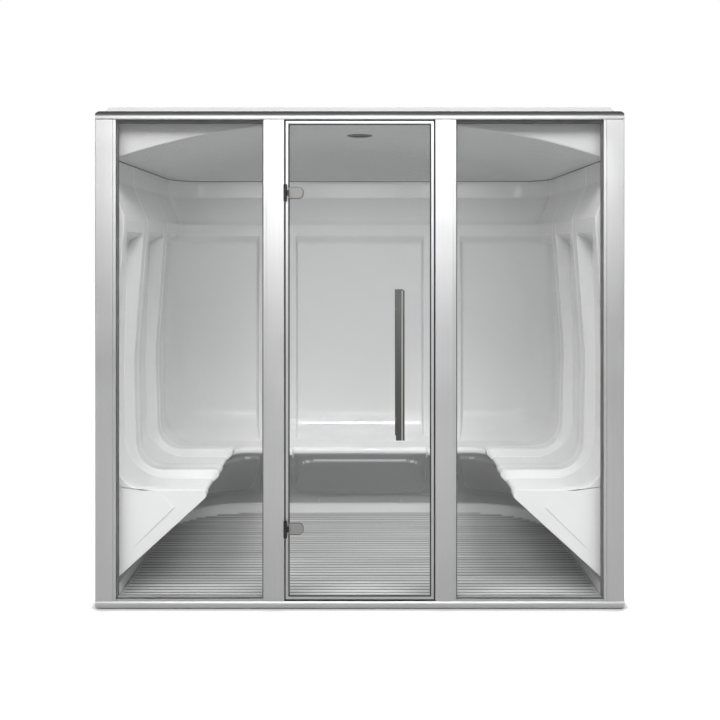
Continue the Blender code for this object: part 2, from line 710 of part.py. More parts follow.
def placed(station, section):
    """World points of a section that stands on its station's line."""
    wall, ray, scale = station
    inward = section[:, :1]
    plan = wall + ray * np.where(inward > 0, inward * scale, inward)
    return np.column_stack([plan[:, 0], plan[:, 1] + FRONT_Y, section[:, 1]])


def shell(name, rows, side, towards):
    """A moulding through rows of points, its face turned to a point in the cabin and thickened behind."""
    rows = np.array(rows)
    rows[:, :, 0] *= side
    count_i, count_j = rows.shape[:2]
    bm = bmesh.new()
    bmesh.ops.create_grid(bm, x_segments=count_i - 1, y_segments=count_j - 1, size=1.0)
    for vert in bm.verts:
        i = round((vert.co.x + 1) / 2 * (count_i - 1))
        j = round((vert.co.y + 1) / 2 * (count_j - 1))
        vert.co = rows[i, j]
    bm.normal_update()
    largest = max(bm.faces, key=lambda face: face.calc_area())
    if largest.normal.dot(towards - largest.calc_center_median()) < 0:
        bmesh.ops.reverse_faces(bm, faces=list(bm.faces))
    obj = mesh_object(name, bm, "acrylic")
    skin = obj.modifiers.new("thickness", "SOLIDIFY")
    skin.thickness = SHELL
    skin.offset = -1.0
    skin.use_even_offset = True
    return obj


def side_rows(start, end, niche_start, niche_end, front_end):
    """Stations of one side module from its front joint to its rear joint."""
    crest = rounded(SIDE_CREST)
    niche = rounded(SIDE_NICHE)
    return [
        placed(side_station(start), end_fill(crest) if front_end else flange_of(crest)),
        placed(side_station(start), crest),
        placed(side_station(niche_start), crest),
        placed(side_station(niche_start + NICHE_FLANK), niche),
        placed(side_station(niche_end - NICHE_FLANK), niche),
        placed(side_station(niche_end), crest),
        placed(side_station(end), crest),
        placed(side_station(end), flange_of(crest)),
    ]


def corner_rows():
    """Stations of a rear corner module, with one niche round the corner."""
    edge = JOINT_GAP / 2 / CORNER_RUN
    flank = NICHE_FLANK / CORNER_RUN
    far = CREST_HALF / CORNER_RUN
    near = (CORNER_RUN - (CORNER_NICHE_NEAR - REAR_JOINT_X)) / CORNER_RUN
    arc_from = CORNER_FIRST / CORNER_RUN
    arc_to = (CORNER_FIRST + CORNER_ARC) / CORNER_RUN
    plan = [(edge, 0.0), (far, 0.0), (far + flank, 1.0), ((far + arc_from) / 2, 1.0)]
    plan += [(arc_from + k / 4 * (arc_to - arc_from), 1.0) for k in range(5)]
    plan += [((arc_to + near) / 2, 1.0), (near - flank, 1.0), (near, 0.0), (1 - edge, 0.0)]
    rows = []
    for share, niche in plan:
        turn = share * share * (3 - 2 * share)
        crest = mixed(SIDE_CREST, REAR_CREST, turn)
        corners = mixed(crest, mixed(SIDE_NICHE, REAR_NICHE, turn), niche)
        wall, ray, scale = corner_station(share)
        low, high = 0.0, 0.5
        for _ in range(40):
            middle = (low + high) / 2
            low, high = (low, middle) if foot_inside(*(wall + ray * middle)) else (middle, high)
        for k in (0, 1):
            corners[k] = (high / scale, *corners[k][1:])
        section = rounded(corners)
        rows.append(placed((wall, ray, scale), section))
        if share in (edge, 1 - edge):
            rows.insert(0 if share == edge else len(rows), placed((wall, ray, scale), flange_of(section)))
    return rows


def rear_rows():
    """Stations of the rear module between its two joints, with one niche in the middle."""
    edge = REAR_JOINT_X - JOINT_GAP / 2
    crest = rounded(REAR_CREST)
    niche = rounded(REAR_NICHE)
    return [
        placed(rear_station(-edge), flange_of(crest)),
        placed(rear_station(-edge), crest),
        placed(rear_station(-REAR_NICHE_HALF), crest),
        placed(rear_station(-REAR_NICHE_HALF + NICHE_FLANK), niche),
        placed(rear_station(REAR_NICHE_HALF - NICHE_FLANK), niche),
        placed(rear_station(REAR_NICHE_HALF), crest),
        placed(rear_station(edge), crest),
        placed(rear_station(edge), flange_of(crest)),
    ]


FRONT_ROWS = side_rows(
    LINER_FRONT, SIDE_JOINT - JOINT_GAP / 2, LINER_FRONT + CREST_HALF, SIDE_JOINT - CREST_HALF, True
)
BACK_ROWS = side_rows(
    SIDE_JOINT + JOINT_GAP / 2,
    CORNER_JOINT - JOINT_GAP / 2,
    SIDE_JOINT + CREST_HALF,
    CORNER_JOINT - CREST_HALF,
    False,
)
cabin_middle = Vector((0.0, depth(0.5), 1.1))
for side, sign in (("left", 1), ("right", -1)):
    shell(side + "_front_module", FRONT_ROWS, sign, cabin_middle)
    shell(side + "_back_module", BACK_ROWS, sign, cabin_middle)
    shell(side + "_corner_module", corner_rows(), sign, cabin_middle)
shell("rear_module", rear_rows(), 1, cabin_middle)


# ceiling: shallow vault that falls to the seam at the rear, with a flat brow at the front
def ceiling_z(share, d):
    """Height of the vault at this share of the half width and this depth."""
    across = max(0.0, abs(share) - CEILING_FLAT) / (CEILING_SPRING - CEILING_FLAT)
    along = max(0.0, d - CEILING_COVE_FROM) / (LINER_REAR - CEILING_COVE_FROM)
    rise = max(0.0, 1 - across**2) * math.sqrt(max(0.0, 1 - along**2))
    return CEILING_LOW + (CEILING_CROWN - CEILING_LOW) * rise


def ceiling_rows():
    inner = (CEILING_FLAT, 0.27, 0.48, 0.68, 0.85, CEILING_SPRING, 1.0)
    shares = [-share for share in reversed(inner)] + list(inner)
    angles = [math.radians(angle) for angle in (0, 30, 54, 74, 90)]
    stations = [(d, 0.0) for d in (LINER_FRONT, 0.35, 0.75, CEILING_COVE_FROM)]
    stations += [(LINER_REAR - WALL_CORNER_RADIUS * (1 - math.sin(angle)), angle) for angle in angles]
    rows = []
    for d, angle in stations:
        half = LINER_HALF_WIDTH - WALL_CORNER_RADIUS * (1 - math.cos(angle))
        lean = min(angle, math.radians(66))
        rim = (half + RIM * math.cos(lean), depth(d + RIM * math.sin(lean)), CEILING_LOW)
        row = [(share * half, depth(d), ceiling_z(share, d)) for share in shares]
        rows.append([(-rim[0], *rim[1:])] + row + [rim])
    half = LINER_HALF_WIDTH - WALL_CORNER_RADIUS
    end = (half + RIM * 0.2, depth(LINER_REAR + RIM * 0.985), CEILING_LOW)
    last = [(share * half, depth(LINER_REAR + RIM), CEILING_LOW) for share in shares]
    rows.append([(-end[0], *end[1:])] + last + [end])
    front = depth(LINER_FRONT)
    brow = [(share * (BROW_HALF_WIDTH - BROW_CORNER), front, CEILING_TOP) for share in shares]
    tip = (BROW_HALF_WIDTH, front, CEILING_TOP - BROW_CORNER)
    rows.insert(0, [(-tip[0], *tip[1:])] + brow + [tip])
    return rows


ceiling = shell("ceiling_vault", ceiling_rows(), 1, cabin_middle)
lamp_at = (0.0, depth(LAMP_FROM_FRONT), CEILING_CROWN)
cut(ceiling, rod("lamp_hole", None, LAMP_HOLE, -0.05, 0.05, lamp_at, 28))


def wall_path(out, front, steps=8):
    """Plan of the wall line moved outward, from the front left round the rear to the front right."""
    left = [(-LINER_HALF_WIDTH - out, depth(front))]
    radius = WALL_CORNER_RADIUS + out
    for k in range(steps + 1):
        angle = math.pi / 2 * k / steps
        x = -LINER_HALF_WIDTH + WALL_CORNER_RADIUS - radius * math.cos(angle)
        left.append((x, depth(LINER_REAR - WALL_CORNER_RADIUS + radius * math.sin(angle))))
    return left + [(-x, y) for x, y in reversed(left)]


seam_front = LINER_FRONT + 0.002
seam_outline = wall_path(RIM - 0.002, seam_front) + wall_path(0.0015, seam_front)[::-1]
plate("ceiling_gasket", "rubber", seam_outline, 2 * (SEAM_HALF - FIT), (0, 0, SEAM_Z))

# ceiling lamp
turned(
    "lamp_bezel",
    "plastic",
    [
        (LAMP_LENS + FIT, -0.0045),
        (LAMP_RADIUS - 0.002, -0.0045),
        (LAMP_RADIUS, -0.0030),
        (LAMP_RADIUS, -FIT),
        (LAMP_HOLE - FIT, -FIT),
        (LAMP_HOLE - FIT, 0.012),
        (LAMP_LENS + FIT, 0.012),
        (LAMP_LENS + FIT, -0.0045),
    ],
    lamp_at,
)
rod("lamp_lens", "diffuser", LAMP_LENS, 0.003, 0.0118, lamp_at, 28)
turned(
    "lamp_housing",
    "zinc",
    [
        (LAMP_LENS - 0.003, 0.0123),
        (LAMP_HOLE - FIT, 0.0123),
        (LAMP_HOLE - FIT, LAMP_HOUSING),
        (0.0, LAMP_HOUSING),
        (0.0, LAMP_HOUSING - 0.004),
        (LAMP_LENS - 0.003, LAMP_HOUSING - 0.004),
        (LAMP_LENS - 0.003, 0.0123),
    ],
    lamp_at,
)

# floor tray: a pan whose upstand carries the liner
rim_z = TOE_Z - FIT


def foot_path(front, margin=0.0, steps=10):
    """Plan of the bench foot, from the front left round the rear to the front right."""
    radius = FOOT_CORNER_RADIUS
    centre_x = LINER_HALF_WIDTH - SIDE_FOOT_U - radius
    centre_d = LINER_REAR - REAR_FOOT_U - radius
    left = [(-centre_x - radius + margin, depth(front))]
    for k in range(steps + 1):
        angle = math.pi / 2 * k / steps
        reach = radius - margin
        left.append((-centre_x - reach * math.cos(angle), depth(centre_d + reach * math.sin(angle))))
    return left + [(-x, y) for x, y in reversed(left)]


tray = prism("floor_tray", "acrylic", wall_path(RIM, LINER_FRONT), TRAY_BOTTOM, rim_z)
pan_front = LINER_FRONT + TRAY_FRONT_WALL
cut(tray, prism("tray_pan", None, foot_path(pan_front), TRAY_FLOOR, rim_z + 0.05))
mouth_half = LINER_HALF_WIDTH - SIDE_FOOT_U
mouth_lo = (-mouth_half, depth(LINER_FRONT - 0.02), TRAY_FRONT_Z)
mouth_hi = (mouth_half, depth(pan_front + 0.02), rim_z + 0.04)
cut(tray, boxes("tray_mouth", None, (mouth_lo, mouth_hi)))
drain_at = (0.0, depth(DRAIN_FROM_FRONT), 0.0)
cut(tray, rod("drain_hole", None, DRAIN_SPIGOT + FIT, -0.01, 0.03, drain_at))

# slatted grating in the tray
grate_front = pan_front + GRATING_MARGIN
grate_rear = LINER_REAR - REAR_FOOT_U - GRATING_MARGIN
slat_count = int((grate_rear - grate_front + SLAT_PITCH - SLAT_WIDTH) / SLAT_PITCH)


def floor_half(d):
    """Half the grating's width at this depth, inside the rounded rear corners."""
    centre_d = LINER_REAR - REAR_FOOT_U - FOOT_CORNER_RADIUS
    reach = FOOT_CORNER_RADIUS - GRATING_MARGIN
    over = max(0.0, d - centre_d)
    centre_x = LINER_HALF_WIDTH - SIDE_FOOT_U - FOOT_CORNER_RADIUS
    return centre_x + math.sqrt(max(0.0, reach**2 - over**2))


slats = []
slat_ends = []
for k in range(slat_count):
    near = grate_front + k * SLAT_PITCH
    half = floor_half(near + SLAT_WIDTH)
    slat_ends.append((near + SLAT_WIDTH, half))
    lo = (-half, depth(near), FLOOR_Z - SLAT_THICKNESS)
    slats.append((lo, (half, depth(near + SLAT_WIDTH), FLOOR_Z)))
bearers = []
for k in range(BEARER_COUNT):
    x = (k / (BEARER_COUNT - 1) - 0.5) * 2 * (floor_half(grate_front) - 2 * BEARER_WIDTH)
    end = max(far for far, half in slat_ends if half > abs(x) + BEARER_WIDTH)
    bearers.append(
        (
            (x - BEARER_WIDTH / 2, depth(grate_front + 0.006), TRAY_FLOOR + FIT),
            (x + BEARER_WIDTH / 2, depth(end - 0.006), FLOOR_Z - SLAT_THICKNESS / 2),
        )
    )
grating = boxes("floor_grating", "slats", *slats)
cut(grating, boxes("grating_bearers", None, *bearers), "UNION")

# drain in the tray under the grating
turned(
    "drain_body",
    "steel",
    [
        (DRAIN_SPIGOT - DRAIN_WALL, 0.0005),
        (DRAIN_SPIGOT, 0.0005),
        (DRAIN_SPIGOT, TRAY_FLOOR + FIT),
        (DRAIN_RADIUS, TRAY_FLOOR + FIT),
        (DRAIN_RADIUS, TRAY_FLOOR + 0.0018),
        (DRAIN_SPIGOT - DRAIN_WALL, TRAY_FLOOR + 0.0018),
        (DRAIN_SPIGOT - DRAIN_WALL, 0.0005),
    ],
    drain_at,
)
cover_low = TRAY_FLOOR + 0.0018 + FIT
cover = rod("drain_cover", "steel", DRAIN_RADIUS - 0.004, cover_low, cover_low + 0.002, drain_at)
slots = []
for k in range(5):
    x = (k - 2) * 0.0085
    near = depth(DRAIN_FROM_FRONT - 0.014)
    far = depth(DRAIN_FROM_FRONT + 0.014)
    slots.append(((x - 0.002, near, cover_low - 0.01), (x + 0.002, far, cover_low + 0.01)))
cut(cover, boxes("drain_slots", None, *slots))

# pads under the tray
front_pads = (LINER_FRONT + FRONT_PAD_INSET[1], LINER_HALF_WIDTH - FRONT_PAD_INSET[0])
rear_pads = (LINER_REAR - REAR_PAD_INSET[1], LINER_HALF_WIDTH - REAR_PAD_INSET[0])
for row, (d, reach) in (("front", front_pads), ("rear", rear_pads)):
    for column, x in (("left", -reach), ("middle", 0.0), ("right", reach)):
        name = row + "_" + column + "_pad"
        rod(name, "rubber", PAD_RADIUS, 0.0, TRAY_BOTTOM - FIT, (x, depth(d), 0.0), 20)

# steam nozzle on the sloped bench front, with its inlet pipe in the hollow behind
SIDE_SLOPE = (NICHE_SEAT_Z - SIDE_FOOT_Z) / (SIDE_NICHE_NOSE[0] - SIDE_FOOT_U)
face_z = SIDE_FOOT_Z + SIDE_SLOPE * (NOZZLE_U - SIDE_FOOT_U)
out_x = -math.sin(math.atan(SIDE_SLOPE))
out_z = -math.cos(math.atan(SIDE_SLOPE))
nozzle_at = (LINER_HALF_WIDTH - NOZZLE_U, depth(NOZZLE_FROM_FRONT), face_z)
nozzle_turn = (0, math.atan2(out_x, out_z), 0)
turned(
    "steam_nozzle",
    "steel",
    [
        (0.0, FIT),
        (NOZZLE_RADIUS, FIT),
        (NOZZLE_RADIUS, 0.006),
        (NOZZLE_RADIUS * 0.7, NOZZLE_THICKNESS * 0.75),
        (NOZZLE_RADIUS * 0.3, NOZZLE_THICKNESS),
        (0.0, NOZZLE_THICKNESS),
    ],
    nozzle_at,
    24,
    nozzle_turn,
)
pipe_hole = rod("steam_pipe_hole", None, PIPE_RADIUS + FIT, -0.03, 0.03, nozzle_at, 16, nozzle_turn)
cut(bpy.data.objects["right_back_module"], pipe_hole)
knee = 0.075
bend = 0.040
corner = np.array((-out_x, -out_z)) * knee
bend_from = np.array((-out_x, -out_z)) * (knee - bend)
bend_to = corner + np.array((bend, 0.0))
pipe_points = [np.zeros(2)]
for k in range(6):
    t = k / 5
    pipe_points.append((1 - t) ** 2 * bend_from + 2 * t * (1 - t) * corner + t * t * bend_to)
pipe_points.append(np.array((NOZZLE_U + RIM, corner[1])))
pipe_line = bpy.data.curves.new("steam_inlet_pipe", "CURVE")
pipe_line.dimensions = "3D"
pipe_line.bevel_depth = PIPE_RADIUS
pipe_line.bevel_resolution = 2
pipe_line.use_fill_caps = True
run = pipe_line.splines.new("POLY")
run.points.add(len(pipe_points) - 1)
for point, (x, z) in zip(run.points, pipe_points):
    point.co = (x, 0.0, z, 1.0)
pipe = bpy.data.objects.new("steam_inlet_pipe", pipe_line)
pipe.location = nozzle_at
finish(pipe, "steel")

# temperature sensor on the rear crest
back_rise = SEAM_Z - CREST_BACK[0][1] - BACK_LOW_Z
sensor_lean = math.atan2(CREST_BACK[0][0] - CREST_LOW_U, back_rise)
sensor_u = CREST_LOW_U + (SENSOR_Z - BACK_LOW_Z) * math.tan(sensor_lean) + FIT
turned(
    "temperature_sensor",
    "steel",
    [
        (0.0, 0.0),
        (SENSOR_RADIUS, 0.0),
        (SENSOR_RADIUS, SENSOR_THICKNESS * 0.4),
        (SENSOR_RADIUS * 0.6, SENSOR_THICKNESS),
        (0.0, SENSOR_THICKNESS),
    ],
    (SENSOR_X, depth(LINER_REAR - sensor_u), SENSOR_Z),
    20,
    (math.pi / 2 + sensor_lean, 0, 0),
)


# bench ribs in the hollow under the seats
def rib_outline(foot, nose_u, seat_z):
    """Section of the hollow under a niche seat, clear of the moulding but for its top edge and its foot."""
    slope = (seat_z - foot[1]) / (nose_u - foot[0])
    inside = (SHELL + RIB_INSET) * math.hypot(1.0, slope) / slope
    top = seat_z - SHELL - RIB_TOP_FIT
    foot_u = foot[0] - SHELL - RIB_INSET
    low_z = foot[1] + (foot_u - foot[0] + inside) * slope
    tip_u = foot[0] + (top - 0.030 - foot[1]) / slope - inside
    return [
        (-RIM + 0.002, TOE_Z),
        (foot_u, TOE_Z),
        (foot_u, low_z),
        (tip_u, top - 0.030),
        (tip_u, top),
        (NICHE_COVE_U + NICHE_COVE_RADIUS + 0.03, top),
        (NICHE_COVE_U + NICHE_COVE_RADIUS * 0.6, top - 0.012),
        (-RIM + 0.002, top - 0.030),
    ]


for side, sign in (("left", 1), ("right", -1)):
    for place, d in (
        ("front", (LINER_FRONT + SIDE_JOINT) / 2),
        ("back", (SIDE_JOINT + CORNER_JOINT) / 2),
    ):
        section = rib_outline(SIDE_FOOT, SIDE_NICHE_NOSE[0], NICHE_SEAT_Z)
        outline = [(sign * (u - LINER_HALF_WIDTH), z) for u, z in section]
        name = side + "_" + place + "_rib"
        plate(name, "plastic", outline, RIB_THICKNESS, (0, depth(d), 0), FACING_FRONT)
rear_rib_x = REAR_NICHE_HALF - REAR_RIB_INSET
for side, x in (("left", -rear_rib_x), ("right", rear_rib_x)):
    section = rib_outline(REAR_FOOT, REAR_NICHE_NOSE[0], REAR_SEAT_Z)
    outline = [(depth(LINER_REAR - u), z) for u, z in section]
    plate(side + "_rear_rib", "plastic", outline, RIB_THICKNESS, (x, 0, 0), ALONG_X)
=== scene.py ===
"""Looks of a modular steam room: mouldings, glazed front, floor, fittings and studio round its frame."""

import json
import math
from contextlib import contextmanager

import bpy
import numpy as np
from mathutils import Matrix, Vector

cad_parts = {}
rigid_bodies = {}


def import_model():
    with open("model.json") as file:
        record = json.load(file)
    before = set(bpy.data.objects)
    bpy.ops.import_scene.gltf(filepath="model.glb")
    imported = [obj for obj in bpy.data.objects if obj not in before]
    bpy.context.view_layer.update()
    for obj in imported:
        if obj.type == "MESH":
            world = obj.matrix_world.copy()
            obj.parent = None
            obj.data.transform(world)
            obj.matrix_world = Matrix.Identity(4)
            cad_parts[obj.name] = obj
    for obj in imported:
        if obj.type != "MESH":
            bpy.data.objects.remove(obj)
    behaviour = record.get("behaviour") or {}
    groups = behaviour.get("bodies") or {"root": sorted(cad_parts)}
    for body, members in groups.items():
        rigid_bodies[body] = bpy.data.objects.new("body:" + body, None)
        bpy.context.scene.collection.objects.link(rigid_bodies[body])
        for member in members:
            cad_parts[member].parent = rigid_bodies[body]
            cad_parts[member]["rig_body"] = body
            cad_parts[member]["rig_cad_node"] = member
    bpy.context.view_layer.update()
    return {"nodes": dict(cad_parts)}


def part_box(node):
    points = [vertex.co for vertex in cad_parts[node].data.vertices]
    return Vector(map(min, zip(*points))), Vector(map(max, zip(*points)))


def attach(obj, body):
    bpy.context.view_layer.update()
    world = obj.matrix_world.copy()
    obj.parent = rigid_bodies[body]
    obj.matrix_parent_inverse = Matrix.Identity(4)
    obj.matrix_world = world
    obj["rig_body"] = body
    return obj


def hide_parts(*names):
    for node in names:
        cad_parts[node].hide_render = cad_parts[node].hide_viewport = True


bl_info = {
    "name": "Steam Room",
    "version": (1, 0, 0),
    "blender": (4, 5, 0),
    "location": "3D View > Sidebar > Steam Room",
    "description": "Mouldings, glazed front, floor and fittings of a steam room round its frame",
    "category": "Object",
}

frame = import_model()
FRONT_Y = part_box("header")[0].y

# wall line and joints of the liner, as depths behind the front face and distances from the middle
HALF_WIDTH = 1.140
LINER_FRONT = 0.0648
LINER_REAR = 1.594
SIDE_JOINT = 0.532
CORNER_JOINT = 1.021
REAR_JOINT = 0.507
JOINT_GAP = 0.0004
RIM = 0.044
TOE_Z = 0.0715
TOE_LEAN = 0.45
SEAM_Z = 2.032
WALL_TOP = SEAM_Z - 0.0015
CEILING_LOW = SEAM_Z + 0.0015
CREST_HALF = 0.066
REAR_NICHE = 0.395
CORNER_NICHE = 0.620
CORNER_RADIUS = 0.200
NOSE_RADIUS = 0.185
FOOT_RADIUS = 0.450
SIDE_NOSE = 0.425
REAR_NOSE = 0.383
SIDE_FOOT = (0.030, 0.110)
REAR_FOOT = (0.090, 0.135)
REAR_SEAT = 0.463
FOOT_X = HALF_WIDTH - SIDE_FOOT[0] - FOOT_RADIUS
FOOT_D = LINER_REAR - REAR_FOOT[0] - FOOT_RADIUS

# section corners above the seat: distance in from the wall line, height, radius
CREST_BACK = ((0.018, 1.050, 1.6), (0.062, 1.650, 0.30), (0.067, 1.697, 0.10))
NICHE_BACK = ((-0.028, 1.050, 1.6), (-0.010, 1.652, 0.030), (0.066, 1.697, 0.009))
SHOULDER = ((0.069, 1.762, 0.014), (0.0, 1.930, 0.030))
ARC_POINTS = (1, 5, 10, 14, 6, 5, 5, 6, 6, 3, 1)
BETWEEN = (2, 36, 6, 6, 8, 1, 2, 5, 4, 2)
CREST_END = 0.006
OUTER_CORNERS = (2, 5, 6, 7)

# a face that looks down and lies lower than this gets the greyer bench-front acrylic: painted shade under
# the seats
PAINTED_SHADE_SLOPE = -0.2
PAINTED_SHADE_LIMIT = 0.5

# raised panels on the bench fronts: edge, slope of their top line, then heights, corners and ends of each
PANEL_STEP = 0.010
PANEL_TOP_SLOPE = 1.3
CORNER_PANEL_TOP = 0.412
CORNER_PANEL_FOOT = 0.165
CORNER_PANEL_ROUND = 0.020
CORNER_PANEL_ENDS = (0.06, 0.045)
REAR_PANEL_HALF = 0.342
REAR_PANEL_TOP = 0.385
REAR_PANEL_FOOT = 0.155
REAR_PANEL_FLARE = 0.27
REAR_PANEL_LEAN = 0.96
REAR_PANEL_ROUND = 0.024

# pressed panels on the bench ends: their line, as distance from the middle and height, and their depth
END_LINE = ((1.0130, 0.2692), (0.8356, 0.4421))
END_REACH = 0.085
END_SKIN = 0.0015

# vault: flat share of its half width, start of its rear cove, its flange over the front and the brow between
VAULT_FLAT = 0.070
VAULT_COVE = 1.300
FLANGE_TOP = 2.260
FLANGE_HALF = 1.155
FLANGE_CORNER = 0.018
BROW_RADIUS = 0.010
LAMP_HOLE = 0.0562

# tray and grating
TRAY_LOW = 0.0040
PAN_Z = 0.0085
PAN_SETBACK = 0.012
MOUTH_Z = 0.020
DRAIN_HOLE = 0.0243
GRATING_GAP = 0.004
SLAT_ROUND = 0.0016
BEARERS = 4
BEARER_HALF = 0.011
BEARER_LOW = 0.0088

# rails of the front, bolts of the joints, steam inlet
RAIL_CUT = 0.0119
BOLT_LEVELS = (0.66, 0.90, 1.14, 1.38, 1.62)
NOZZLE_REACH = 0.200
NOZZLE_SET = 0.161
PIPE_RADIUS = 0.013
PIPE_STUB = 0.017
PIPE_KNEE = 0.075
PIPE_BEND = 0.040
SENSOR_DROP = 0.582
SENSOR_SET = 0.048

# outlines of turned pieces, as radius and height
ROSETTE = ((0.0104, 0), (0.0180, 0), (0.0180, 0.0026), (0.0140, 0.0046), (0.0104, 0.0046))
LAMP_RING = (
    *((0.0483, 0.0120), (0.0483, -0.0012), (0.0500, -0.0045), (0.0590, -0.0045), (0.0600, -0.0036)),
    *((0.0648, -0.0030), (0.0660, -0.0014), (0.0660, -0.0003), (0.0557, -0.0003), (0.0557, 0.0120)),
)
LENS_RIDGES = (0.044, 0.037, 0.030, 0.023, 0.016)
HOOD = (
    *((0, 0.0003), (0.0420, 0.0003), (0.0420, 0.0040), (0.0395, 0.0066), (0.0335, 0.0080), (0.0294, 0.0155)),
    *((0.0215, 0.0195), (0.0130, 0.0220), (0.0102, 0.0220), (0.0090, 0.0170), (0, 0.0170)),
)
NUT = ((0.0132, 0), (0.0210, 0), (0.0210, 0.011), (0.0132, 0.011))
PROBE = (
    *((0, 0), (0.0180, 0), (0.0180, 0.0040), (0.0160, 0.0052), (0.0128, 0.0056), (0.0112, 0.0100)),
    *((0.0090, 0.0120), (0.0042, 0.0120), (0.0036, 0.0104), (0, 0.0104)),
)

# lights round the room: distance, height of their aim, sizes
LIGHT_AWAY = 9.0
LIGHT_AIM = 1.3
KEY_SIZE = (6.0, 3.6)
STRIP_SIZE = (7.0, 3.0)
STRIP_RISE = 14.0

# lights in the cabin: size, beam in degrees, depth and height of the light and of its aim
FILL_SIZE = (1.9, 0.10)
FILL_BEAM = 78
FILL_LINE = ((0.12, 2.02), (LINER_REAR, 1.12))
GLINT_SIZE = (0.95, 0.08)
GLINT_BEAM = 60
GLINT_LINE = ((0.45, 2.10), (1.50, 0.58))

# floor and sky of the studio, and the camera's shift
FLOOR_GREYS = ((0.41, 0.41, 0.41), (0.43, 0.43, 0.43))
SKY_BAND = ((0.0, 0.28), (0.06, 0.60), (0.18, 0.95), (0.40, 0.45), (0.65, 0.26), (1.0, 0.20))
WHITE = (1, 1, 1, 1)
CAMERA_SHIFT = (0.00035, -0.1528)

# names and signs of repeated pieces, and how close points are merged
SIDES = (("left", 1), ("right", -1))
LEVELS = ("lower", "upper")
MERGE = 0.00002


def depth(d):
    """World Y of a point this far behind the front face of the frame."""
    return FRONT_Y + d


def centre(node):
    """Middle of a node's box."""
    lo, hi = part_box(node)
    return (lo + hi) / 2


# modelling helpers
def deselect():
    if bpy.context.object and bpy.context.object.mode != "OBJECT":
        bpy.ops.object.mode_set(mode="OBJECT")
    bpy.ops.object.select_all(action="DESELECT")


def take(obj):
    """Makes one object the only one selected, and the active one."""
    deselect()
    obj.select_set(True)
    bpy.context.view_layer.objects.active = obj
    return obj


@contextmanager
def editing(obj):
    take(obj)
    bpy.ops.object.mode_set(mode="EDIT")
    bpy.ops.mesh.select_all(action="SELECT")
    yield
    bpy.ops.object.mode_set(mode="OBJECT")


def face_out():
    """Turns all faces of the mesh that is edited outward."""
    bpy.ops.mesh.select_all(action="SELECT")
    bpy.ops.mesh.normals_make_consistent(inside=False)


def named(name):
    obj = bpy.context.object
    obj.name = name
    obj.data.name = name
    return obj


def points_of(obj):
    co = np.empty(len(obj.data.vertices) * 3, np.float32)
    obj.data.vertices.foreach_get("co", co)
    return co.reshape(-1, 3)


def set_points(obj, co):
    obj.data.vertices.foreach_set("co", np.asarray(co, np.float32).ravel())
    obj.data.update()
    return obj


def applied(obj, kind, **values):
    """Adds a modifier with these values and applies it."""
    take(obj)
    modifier = obj.modifiers.new(kind.lower(), kind)
    for key, value in values.items():
        setattr(modifier, key, value)
    bpy.ops.object.modifier_apply(modifier=modifier.name)
    return obj


def smooth(obj, degrees=40):
    take(obj)
    bpy.ops.object.shade_smooth_by_angle(angle=math.radians(degrees))
    return obj


def bevelled(obj, width, segments=3, degrees=30):
    return applied(
        obj,
        "BEVEL",
        width=width,
        segments=segments,
        limit_method="ANGLE",
        angle_limit=math.radians(degrees),
        use_clamp_overlap=True,
    )


def fitted(obj, finish, body="cabin", nodes=(), slot=None):
    """Gives a finished piece its finish, body and the nodes that it stands for; the slot is not used."""
    if finish is not None:
        obj.data.materials.clear()
        for one in finish if isinstance(finish, (list, tuple)) else (finish,):
            obj.data.materials.append(one)
    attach(obj, body)
    if nodes:
        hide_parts(*nodes)
    return obj


def block(name, lo, hi):
    deselect()
    middle = [(a + b) / 2 for a, b in zip(lo, hi)]
    bpy.ops.mesh.primitive_cube_add(size=1.0, location=(0, 0, 0))
    obj = named(name)
    return set_points(obj, points_of(obj) * [b - a for a, b in zip(lo, hi)] + middle)


def drawn(name, outline, low, high, place):
    """A flat outline drawn out into a bar. place takes a point of the outline and its level to the frame."""
    deselect()
    bpy.ops.mesh.primitive_circle_add(vertices=len(outline), fill_type="NGON", location=(0, 0, 0))
    obj = named(name)
    first = np.array([place(a, b, low) for a, b in outline])
    last = np.array(place(*outline[0], high))
    set_points(obj, first)
    with editing(obj):
        bpy.ops.mesh.extrude_region_move(TRANSFORM_OT_translate={"value": tuple(last - first[0])})
        face_out()
    return obj


def turned(name, outline, at=(0, 0, 0), lean=None, steps=64):
    """A closed outline of radius and height spun round its own axis, then leant and moved to its place."""
    deselect()
    bpy.ops.mesh.primitive_circle_add(vertices=len(outline), fill_type="NOTHING", location=(0, 0, 0))
    obj = named(name)
    set_points(obj, [(r, 0.0, z) for r, z in outline])
    with editing(obj):
        bpy.ops.mesh.spin(steps=steps, angle=2 * math.pi, center=(0, 0, 0), axis=(0, 0, 1))
        bpy.ops.mesh.select_all(action="SELECT")
        bpy.ops.mesh.remove_doubles(threshold=MERGE)
        bpy.ops.mesh.dissolve_degenerate(threshold=MERGE / 2)
        face_out()
    return moved(obj, at, lean)


def eased(outline, radius, steps=3):
    """A closed outline with its corners rounded; a corner on the axis of a turned piece stays."""
    points = []
    for k, corner in enumerate(outline):
        here = np.array(corner, float)
        if abs(here[0]) < 1e-6:
            points.append(tuple(here))
            continue
        before = np.array(outline[k - 1]) - here
        after = np.array(outline[(k + 1) % len(outline)]) - here
        reach = min(radius, 0.45 * np.linalg.norm(before), 0.45 * np.linalg.norm(after))
        first = here + before / np.linalg.norm(before) * reach
        last = here + after / np.linalg.norm(after) * reach
        for t in np.linspace(0, 1, steps + 1):
            points.append(tuple((1 - t) ** 2 * first + 2 * t * (1 - t) * here + t * t * last))
    return points


def moved(obj, at, lean=None):
    turn = np.array(lean or Matrix.Identity(3))
    return set_points(obj, points_of(obj) @ turn.T + np.array(at))


def facing(direction):
    """The turn that takes the +Z axis to this direction."""
    return Vector((0, 0, 1)).rotation_difference(Vector(direction).normalized()).to_matrix()


def copied(obj, name):
    take(obj)
    bpy.ops.object.duplicate()
    return named(name)


